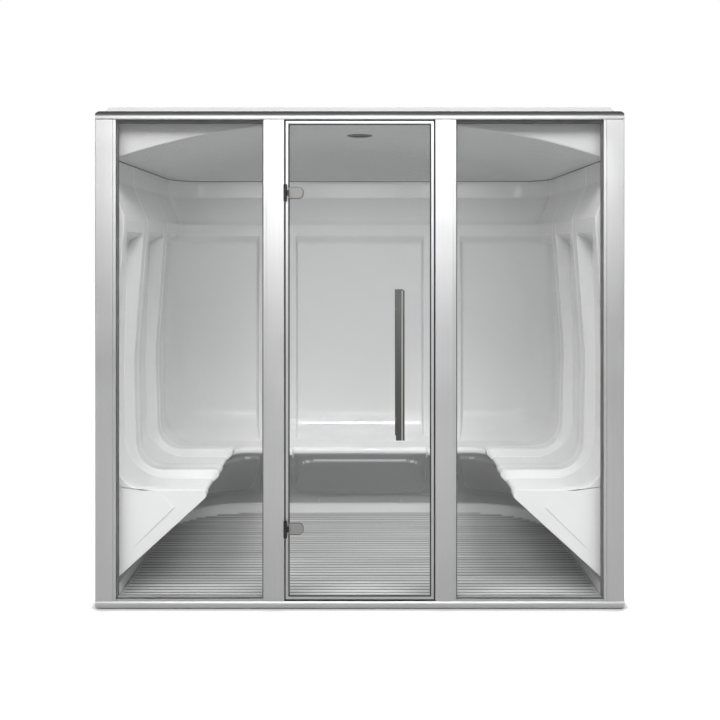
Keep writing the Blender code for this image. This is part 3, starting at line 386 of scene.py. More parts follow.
def joined(name, objects):
    deselect()
    for obj in objects:
        obj.select_set(True)
    bpy.context.view_layer.objects.active = objects[0]
    if len(objects) > 1:
        bpy.ops.object.join()
    return named(name)


def softened(node, name, width, segments=3, degrees=30):
    """A copy of a node with its triangles merged to faces and its edges rounded."""
    take(frame["nodes"][node])
    bpy.ops.object.duplicate()
    obj = named(name)
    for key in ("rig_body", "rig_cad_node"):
        del obj[key]
    bpy.ops.object.parent_clear(type="CLEAR")
    with editing(obj):
        bpy.ops.mesh.remove_doubles(threshold=MERGE)
        bpy.ops.mesh.select_all(action="SELECT")
        bpy.ops.mesh.dissolve_limited(angle_limit=math.radians(0.6))
    bevelled(obj, width, segments, degrees)
    smooth(obj, 50)
    return applied(obj, "WEIGHTED_NORMAL", keep_sharp=True)


def dressed(node, name, width, tone, slot, body="cabin", segments=3, degrees=30):
    """A softened copy of a node that stands for it, with its finish."""
    return fitted(softened(node, name, width, segments, degrees), finish(tone), body, [node], slot)


def cut_by(obj, cutters):
    """Cuts pieces out of an object and removes them."""
    for cutter in cutters:
        applied(obj, "BOOLEAN", object=cutter, operation="DIFFERENCE", solver="EXACT")
        bpy.data.objects.remove(cutter, do_unlink=True)


def plug(name, radius, low, high, at):
    """A plain cylinder to cut with."""
    return turned(name, [(0, low), (radius, low), (radius, high), (0, high)], at)


def lofted(name, rows, towards):
    """A sheet through rows of points, with its face to a point in the cabin."""
    count_i, count_j = rows.shape[:2]
    deselect()
    bpy.ops.mesh.primitive_grid_add(
        x_subdivisions=count_i - 1, y_subdivisions=count_j - 1, size=2, location=(0, 0, 0)
    )
    obj = named(name)
    flat = points_of(obj)
    i = np.rint((flat[:, 0] + 1) / 2 * (count_i - 1)).astype(int)
    j = np.rint((flat[:, 1] + 1) / 2 * (count_j - 1)).astype(int)
    set_points(obj, rows[i, j])
    seen = sum(face.area * face.normal.dot(Vector(towards) - face.center) for face in obj.data.polygons)
    if seen < 0:
        with editing(obj):
            bpy.ops.mesh.flip_normals()
    return obj


def skinned(obj, thickness):
    """Thickens a sheet behind its face, with the second finish on its back."""
    return applied(
        obj,
        "SOLIDIFY",
        thickness=thickness,
        offset=-1.0,
        use_even_offset=True,
        material_offset=1,
        material_offset_rim=0,
    )


# finishes
def blank(name):
    made = bpy.data.materials.new(name)
    made.use_nodes = True
    tree = made.node_tree
    return made, tree, tree.nodes["Principled BSDF"]


def put(tree, kind, links=None, values=None, **props):
    """Adds a node with these settings, socket values and incoming links."""
    node = tree.nodes.new(kind)
    for key, value in props.items():
        setattr(node, key, value)
    for key, value in (values or {}).items():
        node.inputs[key].default_value = value
    for key, source in (links or {}).items():
        tree.links.new(source, node.inputs[key])
    return node


def spread(tree, scale=(1, 1, 1)):
    """Object coordinates, stretched."""
    coords = put(tree, "ShaderNodeTexCoord")
    return put(tree, "ShaderNodeMapping", {"Vector": coords.outputs["Object"]}, {"Scale": scale}).outputs[0]


def noise(tree, vector, scale, detail=2.0, rough=0.5):
    values = {"Scale": scale, "Detail": detail, "Roughness": rough}
    return put(tree, "ShaderNodeTexNoise", {"Vector": vector}, values).outputs["Fac"]


def ranged(tree, source, low, high, from_low=0.3, from_high=0.7):
    values = {"From Min": from_low, "From Max": from_high, "To Min": low, "To Max": high}
    return put(tree, "ShaderNodeMapRange", {"Value": source}, values).outputs[0]


def between(tree, factor, first, second):
    """Two colours mixed by a factor from 0 to 1."""
    node = put(tree, "ShaderNodeMix", data_type="RGBA")
    tree.links.new(factor, node.inputs[0])
    node.inputs[6].default_value = (*first, 1)
    node.inputs[7].default_value = (*second, 1)
    return node.outputs[2]


def bump(tree, shader, height, strength, distance):
    values = {"Strength": strength, "Distance": distance}
    node = put(tree, "ShaderNodeBump", {"Height": height}, values)
    tree.links.new(node.outputs[0], shader.inputs["Normal"])


def toned(tree, shader, source, colour, dark):
    """Base colour that a pattern varies between the colour and a darker one."""
    tone = between(tree, ranged(tree, source, 0, 1), [c * dark for c in colour], colour)
    tree.links.new(tone, shader.inputs["Base Color"])


def roughened(tree, shader, source, low, high, *span):
    """Roughness that a pattern varies between two levels."""
    tree.links.new(ranged(tree, source, low, high, *span), shader.inputs["Roughness"])


def maths(tree, operation, first, second):
    """Two outputs, or an output and a number, combined."""
    values = {1: second} if isinstance(second, float) else {}
    links = {0: first} if values else {0: first, 1: second}
    return put(tree, "ShaderNodeMath", links, values, operation=operation).outputs[0]


def surfaced(tree, shader, output="Material Output"):
    tree.links.new(shader.outputs[0], tree.nodes[output].inputs["Surface"])


def acrylic(colour, name="gloss_acrylic", rough=0.10, ior=1.41, coat=0.14, wave=0.05):
    """Moulded sheet, slightly wavy."""
    made, tree, shader = blank(name)
    plain = spread(tree)
    toned(tree, shader, noise(tree, plain, 1.7, 1.0), colour, 0.975)
    roughened(tree, shader, noise(tree, plain, 11.0, 3.0), rough, rough * 1.7)
    shader.inputs["IOR"].default_value = ior
    shader.inputs["Coat Weight"].default_value = coat
    shader.inputs["Coat Roughness"].default_value = 0.04
    bump(tree, shader, noise(tree, plain, 6.0, 1.5), wave, 0.02)
    return made


def laminate(colour):
    """The hand-laid back of a moulding: matt resin over chopped strands."""
    made, tree, shader = blank("laminate_back")
    strands = noise(tree, spread(tree, (90, 90, 14)), 1.0, 4.0, 0.7)
    across = noise(tree, spread(tree, (16, 90, 90)), 1.0, 4.0, 0.7)
    mat = maths(tree, "MAXIMUM", strands, across)
    tone = between(tree, ranged(tree, mat, 0, 1, 0.45, 0.75), [c * 0.82 for c in colour], colour)
    patch = ranged(tree, noise(tree, spread(tree), 2.5, 3.0), 0, 1)
    mixed_tone = put(tree, "ShaderNodeMix", {0: patch, 6: tone}, data_type="RGBA")
    mixed_tone.inputs[7].default_value = (colour[0] * 0.93, colour[1] * 0.91, colour[2] * 0.85, 1)
    tree.links.new(mixed_tone.outputs[2], shader.inputs["Base Color"])
    roughened(tree, shader, mat, 0.42, 0.68)
    bump(tree, shader, mat, 0.55, 0.002)
    return made


def drawn_metal(name, colour, rough, along, scratch=0.12, metal=1.0):
    """Satin metal with fine lines along one axis; with less metal it is a painted or coated one."""
    made, tree, shader = blank(name)
    scale = [900.0, 900.0, 900.0]
    scale["xyz".index(along)] = 3.0
    lines = noise(tree, spread(tree, scale), 1.0, 3.0, 0.6)
    toned(tree, shader, lines, colour, 0.93)
    both = maths(tree, "ADD", lines, noise(tree, spread(tree), 5.0, 2.0))
    roughened(tree, shader, both, rough * 0.85, rough * 1.15, 0.7, 1.3)
    shader.inputs["Metallic"].default_value = metal
    bump(tree, shader, lines, scratch, 0.0004)
    return made


def rubber(colour):
    """Dark rubber with a pale bloom."""
    made, tree, shader = blank("dark_rubber")
    bloom = noise(tree, spread(tree), 14.0, 3.0)
    tone = between(tree, ranged(tree, bloom, 0, 1), colour, [c * 1.5 + 0.004 for c in colour])
    tree.links.new(tone, shader.inputs["Base Color"])
    roughened(tree, shader, bloom, 0.55, 0.72)
    bump(tree, shader, noise(tree, spread(tree), 420.0, 2.0), 0.15, 0.0006)
    return made


def clear_glass(tint):
    """Glass that lets light straight through and mirrors only at a slant."""
    made, tree, shader = blank("clear_glass")
    tree.nodes.remove(shader)
    through = put(tree, "ShaderNodeBsdfTransparent", values={"Color": (*tint, 1)})
    gloss = put(tree, "ShaderNodeBsdfGlossy", values={"Color": WHITE, "Roughness": 0.01})
    slant = put(tree, "ShaderNodeLayerWeight", values={"Blend": 0.5}).outputs["Facing"]
    mirror = ranged(tree, maths(tree, "POWER", slant, 5.0), 0.005, 1.0, 0.0, 1.0)
    surfaced(tree, put(tree, "ShaderNodeMixShader", {0: mirror, 1: through.outputs[0], 2: gloss.outputs[0]}))
    return made


def slat_plastic(colour):
    """Speckled plastic whose tone changes from slat to slat."""
    made, tree, shader = blank("slat_plastic")
    speck = noise(tree, spread(tree), 260.0, 3.0, 0.7)
    toned(tree, shader, noise(tree, spread(tree, (0.8, 30, 4)), 1.0, 2.0), colour, 0.66)
    roughened(tree, shader, speck, 0.34, 0.52)
    bump(tree, shader, speck, 0.12, 0.0006)
    return made


def moulded_plastic(name, colour, rough):
    """Plastic with a fine grain."""
    made, tree, shader = blank(name)
    grain = noise(tree, spread(tree), 300.0, 2.0)
    toned(tree, shader, noise(tree, spread(tree), 8.0, 2.0), colour, 0.95)
    roughened(tree, shader, grain, rough * 0.85, rough * 1.15)
    bump(tree, shader, grain, 0.08, 0.0005)
    return made


FINISHES = {}


def finish(name):
    """One finish of the room, made at its first use."""
    if name not in FINISHES:
        tones = bpy.context.scene.steam_finish
        makers = {
            "acrylic": lambda: acrylic(tones.acrylic),
            # painted shade: the vault gets a greyer acrylic than the walls
            "ceiling": lambda: acrylic(tones.ceiling, "vault_acrylic_painted_shade", 0.28, 1.30, 0.0, 0.01),
            # painted shade: the bench fronts under the seats get a greyer acrylic
            "bench_front_painted_shade": lambda: acrylic(tones.bench_front_painted_shade),
            "laminate": lambda: laminate(tones.laminate),
            "upright": lambda: drawn_metal("aluminium_upright", tones.aluminium, tones.satin, "z"),
            "rail": lambda: drawn_metal("aluminium_rail", tones.aluminium, tones.satin, "x"),
            "steel": lambda: drawn_metal("satin_steel", tones.steel, 0.28, "z", 0.04),
            "plate": lambda: drawn_metal("hinge_plate", tones.plate, 0.48, "x", 0.03, 0.25),
            "barrel": lambda: drawn_metal("dark_barrel", tones.barrel, 0.38, "z", 0.04),
            "polish_highlight": lambda: drawn_metal("polished_steel", tones.polish_highlight, 0.34, "z", 0.02, 0.5),
            "pull": lambda: drawn_metal("dark_steel", tones.pull, 0.42, "z", 0.08, 0.4),
            "rubber": lambda: rubber(tones.rubber),
            "gasket": lambda: rubber(tones.gasket),
            "glass": lambda: clear_glass(tones.glass),
            "silicone": lambda: moulded_plastic("pale_silicone", tones.silicone, 0.45),
            "slats": lambda: slat_plastic(tones.slats),
            "plastic": lambda: moulded_plastic("white_plastic", tones.plastic, 0.40),
            "lamp_ring": lambda: moulded_plastic("lamp_ring", tones.lamp_ring, 0.45),
            "opal": lambda: moulded_plastic("opal_plastic", tones.opal, 0.25),
            "zinc": lambda: drawn_metal("zinc_plate", tones.zinc, 0.45, "z"),
        }
        FINISHES[name] = makers[name]()
    return FINISHES[name]


# liner sections
def section_corners(foot, nose, seat_z, cove, back):
    return [
        (foot[0] - TOE_LEAN * (foot[1] - TOE_Z), TOE_Z, 0.0),
        (*foot, 0.014),
        (nose[0], seat_z, nose[1]),
        (cove[0], seat_z, cove[1]),
        *back,
        *SHOULDER,
        (0.0, WALL_TOP, 0.003),
        (-RIM, WALL_TOP, 0.0),
    ]


SIDE_CREST = section_corners(SIDE_FOOT, (0.481, 0.025), 0.520, (0.033, 0.135), CREST_BACK)
SIDE_NICHE = section_corners(SIDE_FOOT, (0.437, 0.014), 0.480, (-0.022, 0.225), NICHE_BACK)
REAR_CREST = section_corners(REAR_FOOT, (0.420, 0.025), REAR_SEAT, (0.033, 0.135), CREST_BACK)
REAR_NICHE_SECTION = section_corners(REAR_FOOT, (0.374, 0.025), REAR_SEAT, (-0.022, 0.225), NICHE_BACK)
UNDER_FIRST = sum(ARC_POINTS[:2]) + BETWEEN[0] - 1
UNDER_LAST = UNDER_FIRST + BETWEEN[1] + 1
COVE_LAST = sum(ARC_POINTS[:4]) + sum(BETWEEN[:3]) - 1


def mixed(first, second, share):
    return [tuple(a + share * (b - a) for a, b in zip(one, two)) for one, two in zip(first, second)]


def traced(chain):
    """The section's points: an arc at each corner and even steps between the arcs."""
    arcs = []
    for k, (u, z, radius) in enumerate(chain):
        here = np.array((u, z))
        count = ARC_POINTS[k]
        if count == 1:
            arcs.append([here])
            continue
        before = np.array(chain[k - 1][:2]) - here
        after = np.array(chain[k + 1][:2]) - here
        reach_limit = 0.45 * min(np.linalg.norm(before), np.linalg.norm(after))
        before /= np.linalg.norm(before)
        after /= np.linalg.norm(after)
        half = math.acos(np.clip(before @ after, -1, 1)) / 2
        reach = min(radius / math.tan(half), reach_limit)
        radius = reach * math.tan(half)
        middle = before + after
        centre = here + middle / np.linalg.norm(middle) * radius / math.sin(half)
        start = here + before * reach - centre
        end = here + after * reach - centre
        sweep = math.pi - 2 * half
        arc = []
        for share in np.linspace(0, 1, count):
            arm = math.sin((1 - share) * sweep) * start + math.sin(share * sweep) * end
            arc.append(centre + arm / math.sin(sweep))
        arcs.append(arc)
    points = []
    for k, arc in enumerate(arcs):
        points += arc
        if k < len(arcs) - 1:
            shares = np.linspace(0, 1, BETWEEN[k] + 2)[1:-1]
            points += [arc[-1] + share * (arcs[k + 1][0] - arc[-1]) for share in shares]
    return np.array(points)


def set_out(section, amount):
    """The section moved out of the cabin along its own normals."""
    ahead = np.vstack([section[1:], section[-1:]]) - section
    behind = section - np.vstack([section[:1], section[:-1]])
    normal = np.zeros_like(section)
    for step in (ahead, behind):
        length = np.maximum(np.linalg.norm(step, axis=1, keepdims=True), 1e-9)
        normal += np.column_stack([-step[:, 1], step[:, 0]]) / length
    normal /= np.linalg.norm(normal, axis=1, keepdims=True)
    out = section + normal * amount
    out[:, 0] = np.maximum(out[:, 0], -RIM)
    keep = ARC_POINTS[0] + BETWEEN[0]
    out[:keep, 1] = section[:keep, 1]
    return out


def flange_of(chain, width):
    """The outer edge of a joint flange, from the section with its outward corners eased."""
    rounder = [
        (u, z, max(radius, width + 0.004) if k in OUTER_CORNERS else radius)
        for k, (u, z, radius) in enumerate(chain)
    ]
    return set_out(traced(rounder), width)


def end_fill(section):
    """The edge that closes a module's front end: straight up the outside of the wall."""
    run = np.concatenate([[0], np.cumsum(np.linalg.norm(np.diff(section, axis=0), axis=1))])
    low = TOE_Z + run / run[COVE_LAST] * (section[COVE_LAST, 1] - TOE_Z)
    rise = np.where(np.arange(len(section)) <= COVE_LAST, low, section[:, 1])
    return np.column_stack([np.full(len(section), -RIM), rise])


def flank_steps(radius, deep=0.060, lean=math.radians(82)):
    """Run and share of depth down a niche's flank: a round edge, a steep face and a round root."""
    arc = [(radius * math.sin(a), radius * (1 - math.cos(a))) for a in np.linspace(0, lean, 5)]
    straight = (deep - 2 * radius * (1 - math.cos(lean))) / math.tan(lean)
    width = 2 * radius * math.sin(lean) + straight
    return [(s, y / deep) for s, y in arc] + [(width - s, 1 - y / deep) for s, y in reversed(arc)]


def niche_plan(low, high, radius, steps):
    """Stations across one niche, each with its share of the niche's depth."""
    flank = flank_steps(radius)
    first = [(low + s, share) for s, share in flank]
    last = [(high - s, share) for s, share in reversed(flank)]
    inner = [(p, 1.0) for p in np.linspace(first[-1][0], last[0][0], steps + 2)[1:-1]]
    return first + inner + last


def strip(low, high, steps):
    """Stations along a crest, both ends left out."""
    return [(p, 0.0) for p in np.linspace(low, high, steps + 2)[1:-1]]


def placed(station, section):
    """World points of a section that stands on its station's line."""
    wall, ray, scale = station
    inward = section[:, :1]
    plan = np.array(wall) + np.array(ray) * np.where(inward > 0, inward * scale, inward)
    return np.column_stack([plan[:, 0], plan[:, 1] + FRONT_Y, section[:, 1]])


def module_rows(plan, station, chain, run, edge, flange, closed_front=False):
    """All rows of a module: its stations between two rounded edges, each with a flange behind it."""
    edges = []
    for step, (position, share) in ((1, plan[0]), (-1, plan[-1])):
        corners = chain(position, share)
        closed = closed_front and step > 0
        outer = end_fill(traced(corners)) if closed else flange_of(corners, flange)
        rows = [placed(station(position), outer)]
        for angle in np.linspace(0, math.pi / 2, 5):
            place = position + step * edge * (1 - math.cos(angle)) / run
            section = set_out(traced(chain(place, share)), edge * (1 - math.sin(angle)))
            rows.append(placed(station(place), section))
        edges.append(rows)
    inner = [placed(station(place), traced(chain(place, part))) for place, part in plan[1:-1]]
    return np.array(edges[0] + inner + edges[1][::-1])


def side_station(d):
    return (-HALF_WIDTH, d), (1.0, 0.0), 1.0


def rear_station(x):
    return (x, LINER_REAR), (0.0, -1.0), 1.0


CORNER_FIRST = LINER_REAR - CORNER_RADIUS - CORNER_JOINT
CORNER_ARC = CORNER_RADIUS * math.pi / 2
CORNER_RUN = CORNER_FIRST + CORNER_ARC + HALF_WIDTH - CORNER_RADIUS - REAR_JOINT
NOSE_X = HALF_WIDTH - SIDE_NOSE - NOSE_RADIUS
NOSE_D = LINER_REAR - REAR_NOSE - NOSE_RADIUS


def corner_station(share):
    """A section that swings round the left rear corner, from the side joint at 0 to the rear joint at 1."""
    run = share * CORNER_RUN
    if run < CORNER_FIRST:
        wall = (-HALF_WIDTH, CORNER_JOINT + run)
    elif run < CORNER_FIRST + CORNER_ARC:
        angle = (run - CORNER_FIRST) / CORNER_RADIUS
        wall = (
            -HALF_WIDTH + CORNER_RADIUS * (1 - math.cos(angle)),
            LINER_REAR - CORNER_RADIUS * (1 - math.sin(angle)),
        )
    else:
        wall = (-REAR_JOINT - CORNER_RUN + run, LINER_REAR)
    before = NOSE_D - CORNER_JOINT
    arc = NOSE_RADIUS * math.pi / 2
    along = share * (before + arc + NOSE_X - REAR_JOINT)
    angle = min(max(along - before, 0.0) / NOSE_RADIUS, math.pi / 2)
    nose = (
        -NOSE_X - NOSE_RADIUS * math.cos(angle) + max(0.0, along - before - arc),
        NOSE_D + NOSE_RADIUS * math.sin(angle) - max(0.0, before - along),
    )
    ray = np.array(nose) - np.array(wall)
    length = np.linalg.norm(ray)
    return np.array(wall), ray / length, length / (SIDE_NOSE + share * (REAR_NOSE - SIDE_NOSE))


def foot_inside(x, d):
    """Whether a plan point lies inside the line of the bench foot."""
    over_x = abs(x) - FOOT_X
    over_d = d - FOOT_D
    if over_x > 0 and over_d > 0:
        return math.hypot(over_x, over_d) < FOOT_RADIUS
    return max(over_x, over_d) < FOOT_RADIUS


def side_chain(d, niche):
    return mixed(SIDE_CREST, SIDE_NICHE, niche)


def rear_chain(x, niche):
    return mixed(REAR_CREST, REAR_NICHE_SECTION, niche)


def corner_chain(share, niche):
    """The section at this share of the corner, with its foot on the rounded foot line."""
    turn = share * share * (3 - 2 * share)
    crest = mixed(SIDE_CREST, REAR_CREST, turn)
    corners = mixed(crest, mixed(SIDE_NICHE, REAR_NICHE_SECTION, turn), niche)
    wall, ray, scale = corner_station(share)
    low, high = 0.0, 0.5
    for _ in range(40):
        middle = (low + high) / 2
        low, high = (low, middle) if foot_inside(*(wall + ray * middle)) else (middle, high)
    lean = corners[0][0] - corners[1][0]
    corners[0] = (high / scale + lean, *corners[0][1:])
    corners[1] = (high / scale, *corners[1][1:])
    return corners


def eased_step(distance, width):
    """1 well inside an edge, 0 outside it, with a soft step of this width."""
    t = np.clip(0.5 - distance / width, 0, 1)
    return t * t * (3 - 2 * t)


def outside_all(distances, radius):
    """Distance outside the shape that several edges bound, with its corners rounded."""
    return radius * math.log(sum(math.exp(distance / radius) for distance in distances))


def raised_panel(rows, places, outline, height, width):
    """Raises a panel on the sloped bench front. outline gives a point's distance outside the panel."""
    for row, place in zip(rows, places):
        under = row[UNDER_FIRST : UNDER_LAST + 1]
        slope = under[-1] - under[0]
        level = np.array((slope[0], slope[1], 0.0))
        level /= np.linalg.norm(level)
        rise, run = slope[2], math.hypot(slope[0], slope[1])
        normal = (level * rise - np.array((0, 0, 1)) * run) / math.hypot(rise, run)
        for k in range(len(under)):
            under[k] += normal * height * eased_step(outline(place, under[k]), width)


CABIN_MIDDLE = (0.0, depth(0.5), 1.1)


def moulded(name, rows, skin):
    """A moulding with its gloss face to the cabin, a greyer acrylic painted on the bench front as shade
    under the seats, and a laminate back.
    """
    obj = lofted(name, rows, CABIN_MIDDLE)
    fitted(obj, [finish(tone) for tone in ("acrylic", "laminate", "bench_front_painted_shade", "laminate")])
    for face in obj.data.polygons:
        # faces that look down, low on the moulding, get the painted shade
        if face.normal.z < PAINTED_SHADE_SLOPE and face.center.z < PAINTED_SHADE_LIMIT:
            face.material_index = 2
    return smooth(skinned(obj, skin), 45)


def number_property(name, description, default, **more):
    return bpy.props.FloatProperty(name=name, description=description, default=default, **more)


def length_property(name, description, default):
    return number_property(name, description, default, min=0.0, unit="LENGTH", precision=4)


def colour_property(name, description, default):
    return bpy.props.FloatVectorProperty(
        name=name, description=description, default=default, subtype="COLOR", size=3, min=0.0, max=1.0
    )


class LinerSizes(bpy.types.PropertyGroup):
    """Sizes of the mouldings."""

    skin: length_property("Skin", "Thickness of a moulding", 0.0040)
    joint_radius: length_property("Joint radius", "Rounding of a module's edge at a joint", 0.0035)
    flank_radius: length_property("Flank radius", "Rounding of a niche's edges", 0.0045)
    flange: length_property("Flange", "Depth of the joint flanges behind the mouldings", 0.030)
    bolt: length_property("Bolt", "Radius of the bolts in the joint flanges", 0.0040)
    panel: length_property("Panel", "Height of the raised panels on the bench fronts", 0.0090)
    end_step: length_property("End step", "Height of the pressed panels on the bench ends", 0.0026)
    crown: length_property("Crown", "Height of the vault's crown", 2.194)
    spring: number_property("Spring", "Where the vault starts, as a share of the half width", 0.9535)


class FrontSizes(bpy.types.PropertyGroup):
    """Sizes of the glazed front."""

    edge: length_property("Edge", "Rounding of the extrusions' edges", 0.0009)
    rubber_edge: length_property("Rubber edge", "Rounding of the gaskets", 0.0006)
    plate_edge: length_property("Plate edge", "Rounding of the hinge plates", 0.0010)
    screw: length_property("Screw", "Radius of the hinge screws", 0.0048)
    # painted shadow: the dark rim of the pad that shows round a leaf
    hinge_shadow_pad: length_property("Hinge pad", "How far the pad shows round a hinge leaf", 0.0024)
    sill_nose: length_property("Sill nose", "Radius of the sill's lower front edge", 0.020)
    sill_brow: length_property("Sill brow", "Radius of the sill's face above its nose", 0.036)
    header_nose: length_property("Header nose", "Radius of the header's upper front edge", 0.027)
    inlay: length_property("Inlay", "Width of the polished strip in a pull bar", 0.0066)
    inlay_from: length_property("Inlay from", "From a pull bar's middle to its polished strip", 0.0048)


class FloorSizes(bpy.types.PropertyGroup):
    """Sizes of the slatted floor."""

    pitch: length_property("Pitch", "From one slat to the next", 0.0385)
    width: length_property("Width", "Width of a slat", 0.028)
    thickness: length_property("Thickness", "Thickness of a slat", 0.009)
    level: length_property("Level", "Height of the slats' top", 0.0235)
    groove: length_property("Groove", "Depth of the grooves in a slat", 0.0010)


class Finishes(bpy.types.PropertyGroup):
    """Colours of the room."""

    acrylic: colour_property("Acrylic", "Gloss face of the mouldings", (0.91, 0.91, 0.91))
    # painted shade: the vault's tone is greyer than the walls' because less light reaches it
    ceiling: colour_property("Ceiling", "Gloss face of the vault", (0.68, 0.68, 0.68))
    # painted shade: a greyer tone for the faces under the seats, where shade falls
    bench_front_painted_shade: colour_property("Bench front", "Gloss face under the seats", (0.58, 0.58, 0.585))
    laminate: colour_property("Laminate", "Back of the mouldings", (0.58, 0.575, 0.545))
    aluminium: colour_property("Aluminium", "Satin extrusions of the front", (0.74, 0.74, 0.745))
    satin: number_property("Satin", "Roughness of the extrusions", 0.36, subtype="FACTOR", min=0.0, max=1.0)
    steel: colour_property("Steel", "Hinges and fittings", (0.57, 0.57, 0.57))
    plate: colour_property("Hinge plate", "Leaves and clamps of the hinges", (0.30, 0.297, 0.29))
    barrel: colour_property("Barrel", "Dark knuckles and screws", (0.075, 0.075, 0.075))
    # painted highlight: the strip in the pull bars is far lighter than the dark bar
    polish_highlight: colour_property("Polish", "Strip let into the pull bars", (0.50, 0.50, 0.50))
    pull: colour_property("Pull bar", "Dark steel of the pull bars", (0.095, 0.095, 0.090))
    rubber: colour_property("Rubber", "Gaskets and pads", (0.030, 0.030, 0.032))
    gasket: colour_property("Gasket", "Glazing gaskets of the fixed panes", (0.135, 0.135, 0.135))
    silicone: colour_property("Silicone", "Bottom run of the glazing gaskets", (0.50, 0.50, 0.50))
    glass: colour_property("Glass", "Tint of the panes", (0.978, 0.980, 0.979))
    slats: colour_property("Slats", "Floor slats", (0.74, 0.74, 0.74))
    plastic: colour_property("Plastic", "Bench ribs and small fittings", (0.60, 0.60, 0.59))
    lamp_ring: colour_property("Lamp ring", "Ring of the ceiling lamp", (0.17, 0.17, 0.17))
    opal: colour_property("Opal", "Lamp lens", (0.26, 0.26, 0.26))
    zinc: colour_property("Zinc", "Lamp housing and bolts", (0.58, 0.59, 0.61))


class StudioSizes(bpy.types.PropertyGroup):
    """Light and camera."""

    key: number_property("Key", "Power of each key light", 630.0, unit="POWER")
    rear: number_property("Rear", "Power of each light behind", 230.0, unit="POWER")
    rise: number_property("Rise", "Height of the key and rear lights in degrees", 47.0)
    swing: number_property("Swing", "Key and rear lights to each side in degrees", 33.0)
    glint: number_property("Glint", "Power of the strip seen in the coves", 2.4, unit="POWER")
    strip: number_property("Strip", "Power of the strip seen in metal", 200.0, unit="POWER")
    fill: number_property("Fill", "Power of the light in the cabin", 2.9, unit="POWER")
    panel: number_property("Panel", "Strength of the broad light in front", 0.6)
    ambient: number_property("Ambient", "Share of it that lights matt faces", 0.55)
    distance: length_property("Distance", "Camera in front of the glazed front", 4.25)
    eye: length_property("Eye", "Height of the camera", 1.6108)
    lens: number_property("Lens", "Focal length", 47.44, unit="CAMERA")


class BuildSideModules(bpy.types.Operator):
    """Wall and bench mouldings of the two sides"""

    bl_idname = "steam_room.side_modules"
    bl_label = "Side Modules"

    def execute(self, context):
        sizes = context.scene.steam_liner
        half = JOINT_GAP / 2
        for part, start, end, closed in (
            ("front", LINER_FRONT, SIDE_JOINT - half, True),
            ("back", SIDE_JOINT + half, CORNER_JOINT - half, False),
        ):
            niche_low = start + CREST_HALF
            niche_high = end - CREST_HALF
            plan = [(start, 0.0), *strip(start + CREST_END, niche_low, 3)]
            plan += niche_plan(niche_low, niche_high, sizes.flank_radius, 10)
            plan += [*strip(niche_high, end - CREST_END, 3), (end, 0.0)]
            rows = module_rows(plan, side_station, side_chain, 1.0, sizes.joint_radius, sizes.flange, closed)
            for side, sign in SIDES:
                name = side + "_" + part + "_moulding"
                obj = moulded(name, rows * (sign, 1, 1), sizes.skin)
                if closed:
                    applied(obj, "WEIGHTED_NORMAL", keep_sharp=True)
                fitted(obj, None, nodes=[side + "_" + part + "_module"], slot="white_acrylic")
        return {"FINISHED"}


class BuildEndPanels(bpy.types.Operator):
    """Pressed panels on the front ends of the benches"""

    bl_idname = "steam_room.end_panels"
    bl_label = "Bench End Panels"

    def execute(self, context):
        rise = context.scene.steam_liner.end_step
        first, last = np.array(END_LINE)
        length = np.linalg.norm(last - first)
        along = (last - first) / length
        down = np.array((-along[1], along[0]))
        steps = [*np.linspace(-END_REACH, -0.008, 8), *np.linspace(-0.007, 0.0015, 12), 0.004]
        runs = [*np.linspace(-0.050, length - 0.018, 14), *np.linspace(length - 0.016, length, 9)]
        for side, sign in SIDES:
            rows = []
            for step in steps:
                height = rise * eased_step(step + 0.003, 0.006) * (1 - max(0.0, -step / END_REACH))
                row = []
                for run in runs:
                    fade = eased_step(run - length + 0.008, 0.014) * eased_step(-run, 0.095)
                    x, z = first + along * run + down * step
                    row.append((-sign * x, depth(LINER_FRONT) - 0.0002 - height * fade, z))
                rows.append(row)
            obj = lofted(side + "_end_panel", np.array(rows), (0, depth(-9), 0.3))
            fitted(obj, (finish("acrylic"), finish("acrylic")), slot="white_acrylic")
            smooth(skinned(obj, END_SKIN), 60)
        return {"FINISHED"}


class BuildCornerModules(bpy.types.Operator):
    """Mouldings of the two rear corners"""

    bl_idname = "steam_room.corner_modules"
    bl_label = "Corner Modules"

    def execute(self, context):
        sizes = context.scene.steam_liner
        edge = JOINT_GAP / 2 / CORNER_RUN
        far = CREST_HALF / CORNER_RUN
        near = (CORNER_RUN - (CORNER_NICHE - REAR_JOINT)) / CORNER_RUN
        flank = flank_steps(sizes.flank_radius)
        plan = [(edge, 0.0), *strip(edge + CREST_END / CORNER_RUN, far, 3)]
        plan += [(far + s / CORNER_RUN, share) for s, share in flank]
        low = plan[-1][0]
        last = [(near - s / CORNER_RUN, share) for s, share in reversed(flank)]
        plan += [(p, 1.0) for p in np.linspace(low, last[0][0], 66)[1:-1]]
        plan += last
        plan += [*strip(near, 1 - edge - CREST_END / CORNER_RUN, 4), (1 - edge, 0.0)]
        rows = module_rows(plan, corner_station, corner_chain, CORNER_RUN, sizes.joint_radius, sizes.flange)

        def outside(share, point):
            first_end = (low + CORNER_PANEL_ENDS[0] - share) * CORNER_RUN
            last_end = (share - last[0][0] + CORNER_PANEL_ENDS[1]) * CORNER_RUN
            top = (point[2] - CORNER_PANEL_TOP) * PANEL_TOP_SLOPE
            return outside_all((first_end, last_end, top, CORNER_PANEL_FOOT - point[2]), CORNER_PANEL_ROUND)

        raised_panel(rows[6:-6], [share for share, _ in plan[1:-1]], outside, sizes.panel, PANEL_STEP)
        for side, sign in SIDES:
            obj = moulded(side + "_corner_moulding", rows * (sign, 1, 1), sizes.skin)
            fitted(obj, None, nodes=[side + "_corner_module"], slot="white_acrylic")
        return {"FINISHED"}


